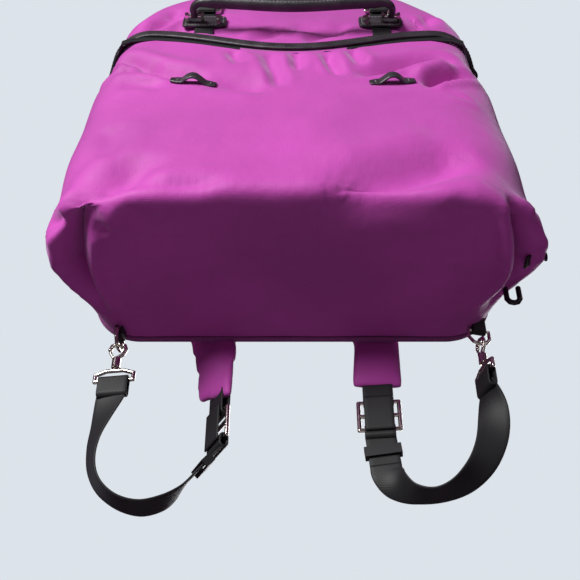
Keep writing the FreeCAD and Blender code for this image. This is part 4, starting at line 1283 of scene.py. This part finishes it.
class BACKPACK_OT_straps(bpy.types.Operator):
    """Shoulder pads, webbing and the tabs at the lower corners"""
    bl_idname = "backpack.straps"
    bl_label = "Shoulder straps"

    def execute(self, context):
        sizes = context.scene.backpack_sizes
        tabs = []
        for name, sign in SIDES:
            spec, body = STRAPS[name], name + "_strap"
            pad = make_pad("shoulder_pad_" + name, spec, sign)
            inflate(pad, PAD_VOXEL, sizes.pad_pressure, sizes.pad_swell)
            finish_piece(pad, "nylon")
            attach(pad, body)
            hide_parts("strap_pad_" + name)
            x, y, h, turn = spec["adjuster"]
            rise = spec["pad_low"] - h + spec["tuck"]
            tail = bar_wrap("pad_tail_webbing_" + name, x, y, h, turn, above=rise)
            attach(finish_piece(tail, "webbing"), body)
            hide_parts("pad_tail_" + name)
            low = h - ADJUSTER_TALL
            fold = bar_wrap("fold", x, y, low, turn, below=5.0)
            run = ribbon("run", [(x, y, low - 7.0, turn), spec["run"]])
            t = math.radians(turn)
            lift = np.array([-math.sin(t), -math.cos(t)]) * (FOLD + 1.3)
            ends = [(x + lift[0], y + lift[1], v, turn) for v in (h + 3.0, low - 3.0)]
            cover = ribbon("cover", ends, WEB_W - 1.0)
            run = finish_piece(join("webbing_run_cloth_" + name, [fold, run, cover]), "webbing")
            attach(run, body)
            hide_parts("webbing_run_" + name)
            hx, hy, hook_turn = spec["hook"]
            foot = (hx, hy, spec["eye_h"] - 10.0, hook_turn + spec["twist"])
            loop = ribbon("loop", [spec["run"]] + spec["loop"][1:] + [foot])
            fold = bar_wrap("fold", hx, hy, spec["eye_h"], hook_turn, below=12.0)
            loop = finish_piece(join("webbing_loop_cloth_" + name, [fold, loop]), "webbing")
            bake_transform(loop)
            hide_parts("webbing_loop_" + name)
            ring_top = spec["eye_h"] + RING_ABOVE_EYE
            tab = bar_wrap("tab", hx, hy, ring_top, hook_turn + 90.0, above=12.0, width=12.0, inner=1.7)
            tabs.append(tab)
        tabs = finish_piece(join("corner_tab_webbing", tabs), "webbing")
        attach(tabs, "bag")
        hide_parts("corner_tabs")
        return {"FINISHED"}


class BACKPACK_OT_hardware(bpy.types.Operator):
    """Finishes of the metal and moulded parts that keep their shape"""
    bl_idname = "backpack.hardware"
    bl_label = "Hardware"

    def execute(self, context):
        for entry in frame["record"]["subparts"]:
            node, slot = entry["node"], entry["material_slot"]
            if not frame["nodes"][node].hide_render:
                dress(node, slot)
        return {"FINISHED"}


# the camera stands in front of the bag and below it, and looks up; lens in mm, angle in degrees
CAMERA_PLACE = (-0.0025, -0.677, z_of(-521.0))
LENS, LOOK_UP = 62.1, 40.46


class BACKPACK_OT_stage(bpy.types.Operator):
    """Pale floor, soft studio light and the camera"""
    bl_idname = "backpack.stage"
    bl_label = "Stage"

    def execute(self, context):
        scene = context.scene
        r = np.linspace(0, 1200, 12)[:, None]
        a = np.linspace(0, 2 * np.pi, 64, endpoint=False)[None]
        p = np.stack(np.broadcast_arrays(r * np.cos(a), r * np.sin(a) - 200.0, -1150.0), -1)
        floor = make_mesh("studio_floor", p, quads(12, 64, closed=True).tolist())
        weld(floor)
        paint = begin("painted_floor", "#C9CBCD", "#CED0D2", 3.0, **{"Roughness": 0.85})
        floor.data.materials.append(paint[0])
        make_world(scene)
        lamp("key_light", (-1.35, -2.15, 0.25), 1.2, 23.0, (0.985, 1.0, 0.985))
        lamp("fill_light", (1.9, -1.9, 0.1), 1.8, 1.8, (0.93, 0.96, 1.0))
        lamp("back_light", (0.9, 2.2, 0.7), 1.6, 12.0, (1.0, 1.0, 1.0))
        data = bpy.data.cameras.new("camera")
        data.lens, data.sensor_width = LENS, 36.0
        data.clip_end = 20.0
        camera = bpy.data.objects.new("camera", data)
        camera.location = CAMERA_PLACE
        camera.rotation_euler = (math.radians(90.0 + LOOK_UP), 0, 0)
        scene.collection.objects.link(camera)
        scene.camera = camera
        scene.view_settings.view_transform = "Standard"
        return {"FINISHED"}


def make_world(scene):
    """Pale surroundings that are seen at full strength and light the object only a little."""
    world = bpy.data.worlds.new("studio")
    world.use_nodes = True
    tree = world.node_tree
    tree.nodes.clear()
    seen = add(tree, "ShaderNodeBackground", {"Color": colour("#DDE3EA"), "Strength": 1.0})
    lit = add(tree, "ShaderNodeBackground", {"Color": colour("#E08AC8"), "Strength": 0.07})
    path = add(tree, "ShaderNodeLightPath")
    mix = add(tree, "ShaderNodeMixShader",
              {0: path.outputs["Is Camera Ray"], 1: lit.outputs[0], 2: seen.outputs[0]})
    add(tree, "ShaderNodeOutputWorld", {"Surface": mix.outputs[0]})
    scene.world = world


def lamp(name, place, size, power, rgb):
    """A square area light that faces the bag."""
    data = bpy.data.lights.new(name, "AREA")
    data.energy, data.size, data.color = power, size, rgb
    data.spread = math.radians(85.0)
    obj = bpy.data.objects.new(name, data)
    bpy.context.scene.collection.objects.link(obj)
    way = np.array([0.0, -0.1, -0.32]) - np.array(place)
    yaw = math.atan2(-way[0], way[1])
    pitch = math.atan2(np.hypot(way[0], way[1]), -way[2])
    obj.location = place
    obj.rotation_euler = (pitch, 0, yaw)


STEPS = ("stage", "pocket", "body", "trim", "handle", "straps", "hardware")


class BACKPACK_PT_panel(bpy.types.Panel):
    """Lists the backpack's pieces and settings"""
    bl_idname = "BACKPACK_PT_panel"
    bl_label = "Racket backpack"
    bl_space_type = "VIEW_3D"
    bl_region_type = "UI"
    bl_category = "Backpack"

    def draw(self, context):
        for group in (context.scene.backpack_colours, context.scene.backpack_sizes):
            for key in group.bl_rna.properties.keys():
                if key not in ("rna_type", "name"):
                    self.layout.prop(group, key)
        for step in STEPS:
            self.layout.operator("backpack." + step)


CLASSES = (BackpackColours, BackpackSizes, BACKPACK_OT_stage, BACKPACK_OT_pocket, BACKPACK_OT_body,
           BACKPACK_OT_trim, BACKPACK_OT_handle, BACKPACK_OT_straps, BACKPACK_OT_hardware, BACKPACK_PT_panel)


def register():
    """Registers the classes and hangs the two groups of settings on the scene."""
    for cls in CLASSES:
        bpy.utils.register_class(cls)
    bpy.types.Scene.backpack_colours = bpy.props.PointerProperty(type=BackpackColours)
    bpy.types.Scene.backpack_sizes = bpy.props.PointerProperty(type=BackpackSizes)


def unregister():
    """Takes back what register did."""
    del bpy.types.Scene.backpack_colours
    del bpy.types.Scene.backpack_sizes
    for cls in reversed(CLASSES):
        bpy.utils.unregister_class(cls)


def main():
    """Registers the classes and builds everything in order."""
    register()
    for step in STEPS:
        getattr(bpy.ops.backpack, step)()


if __name__ == "__main__":
    main()
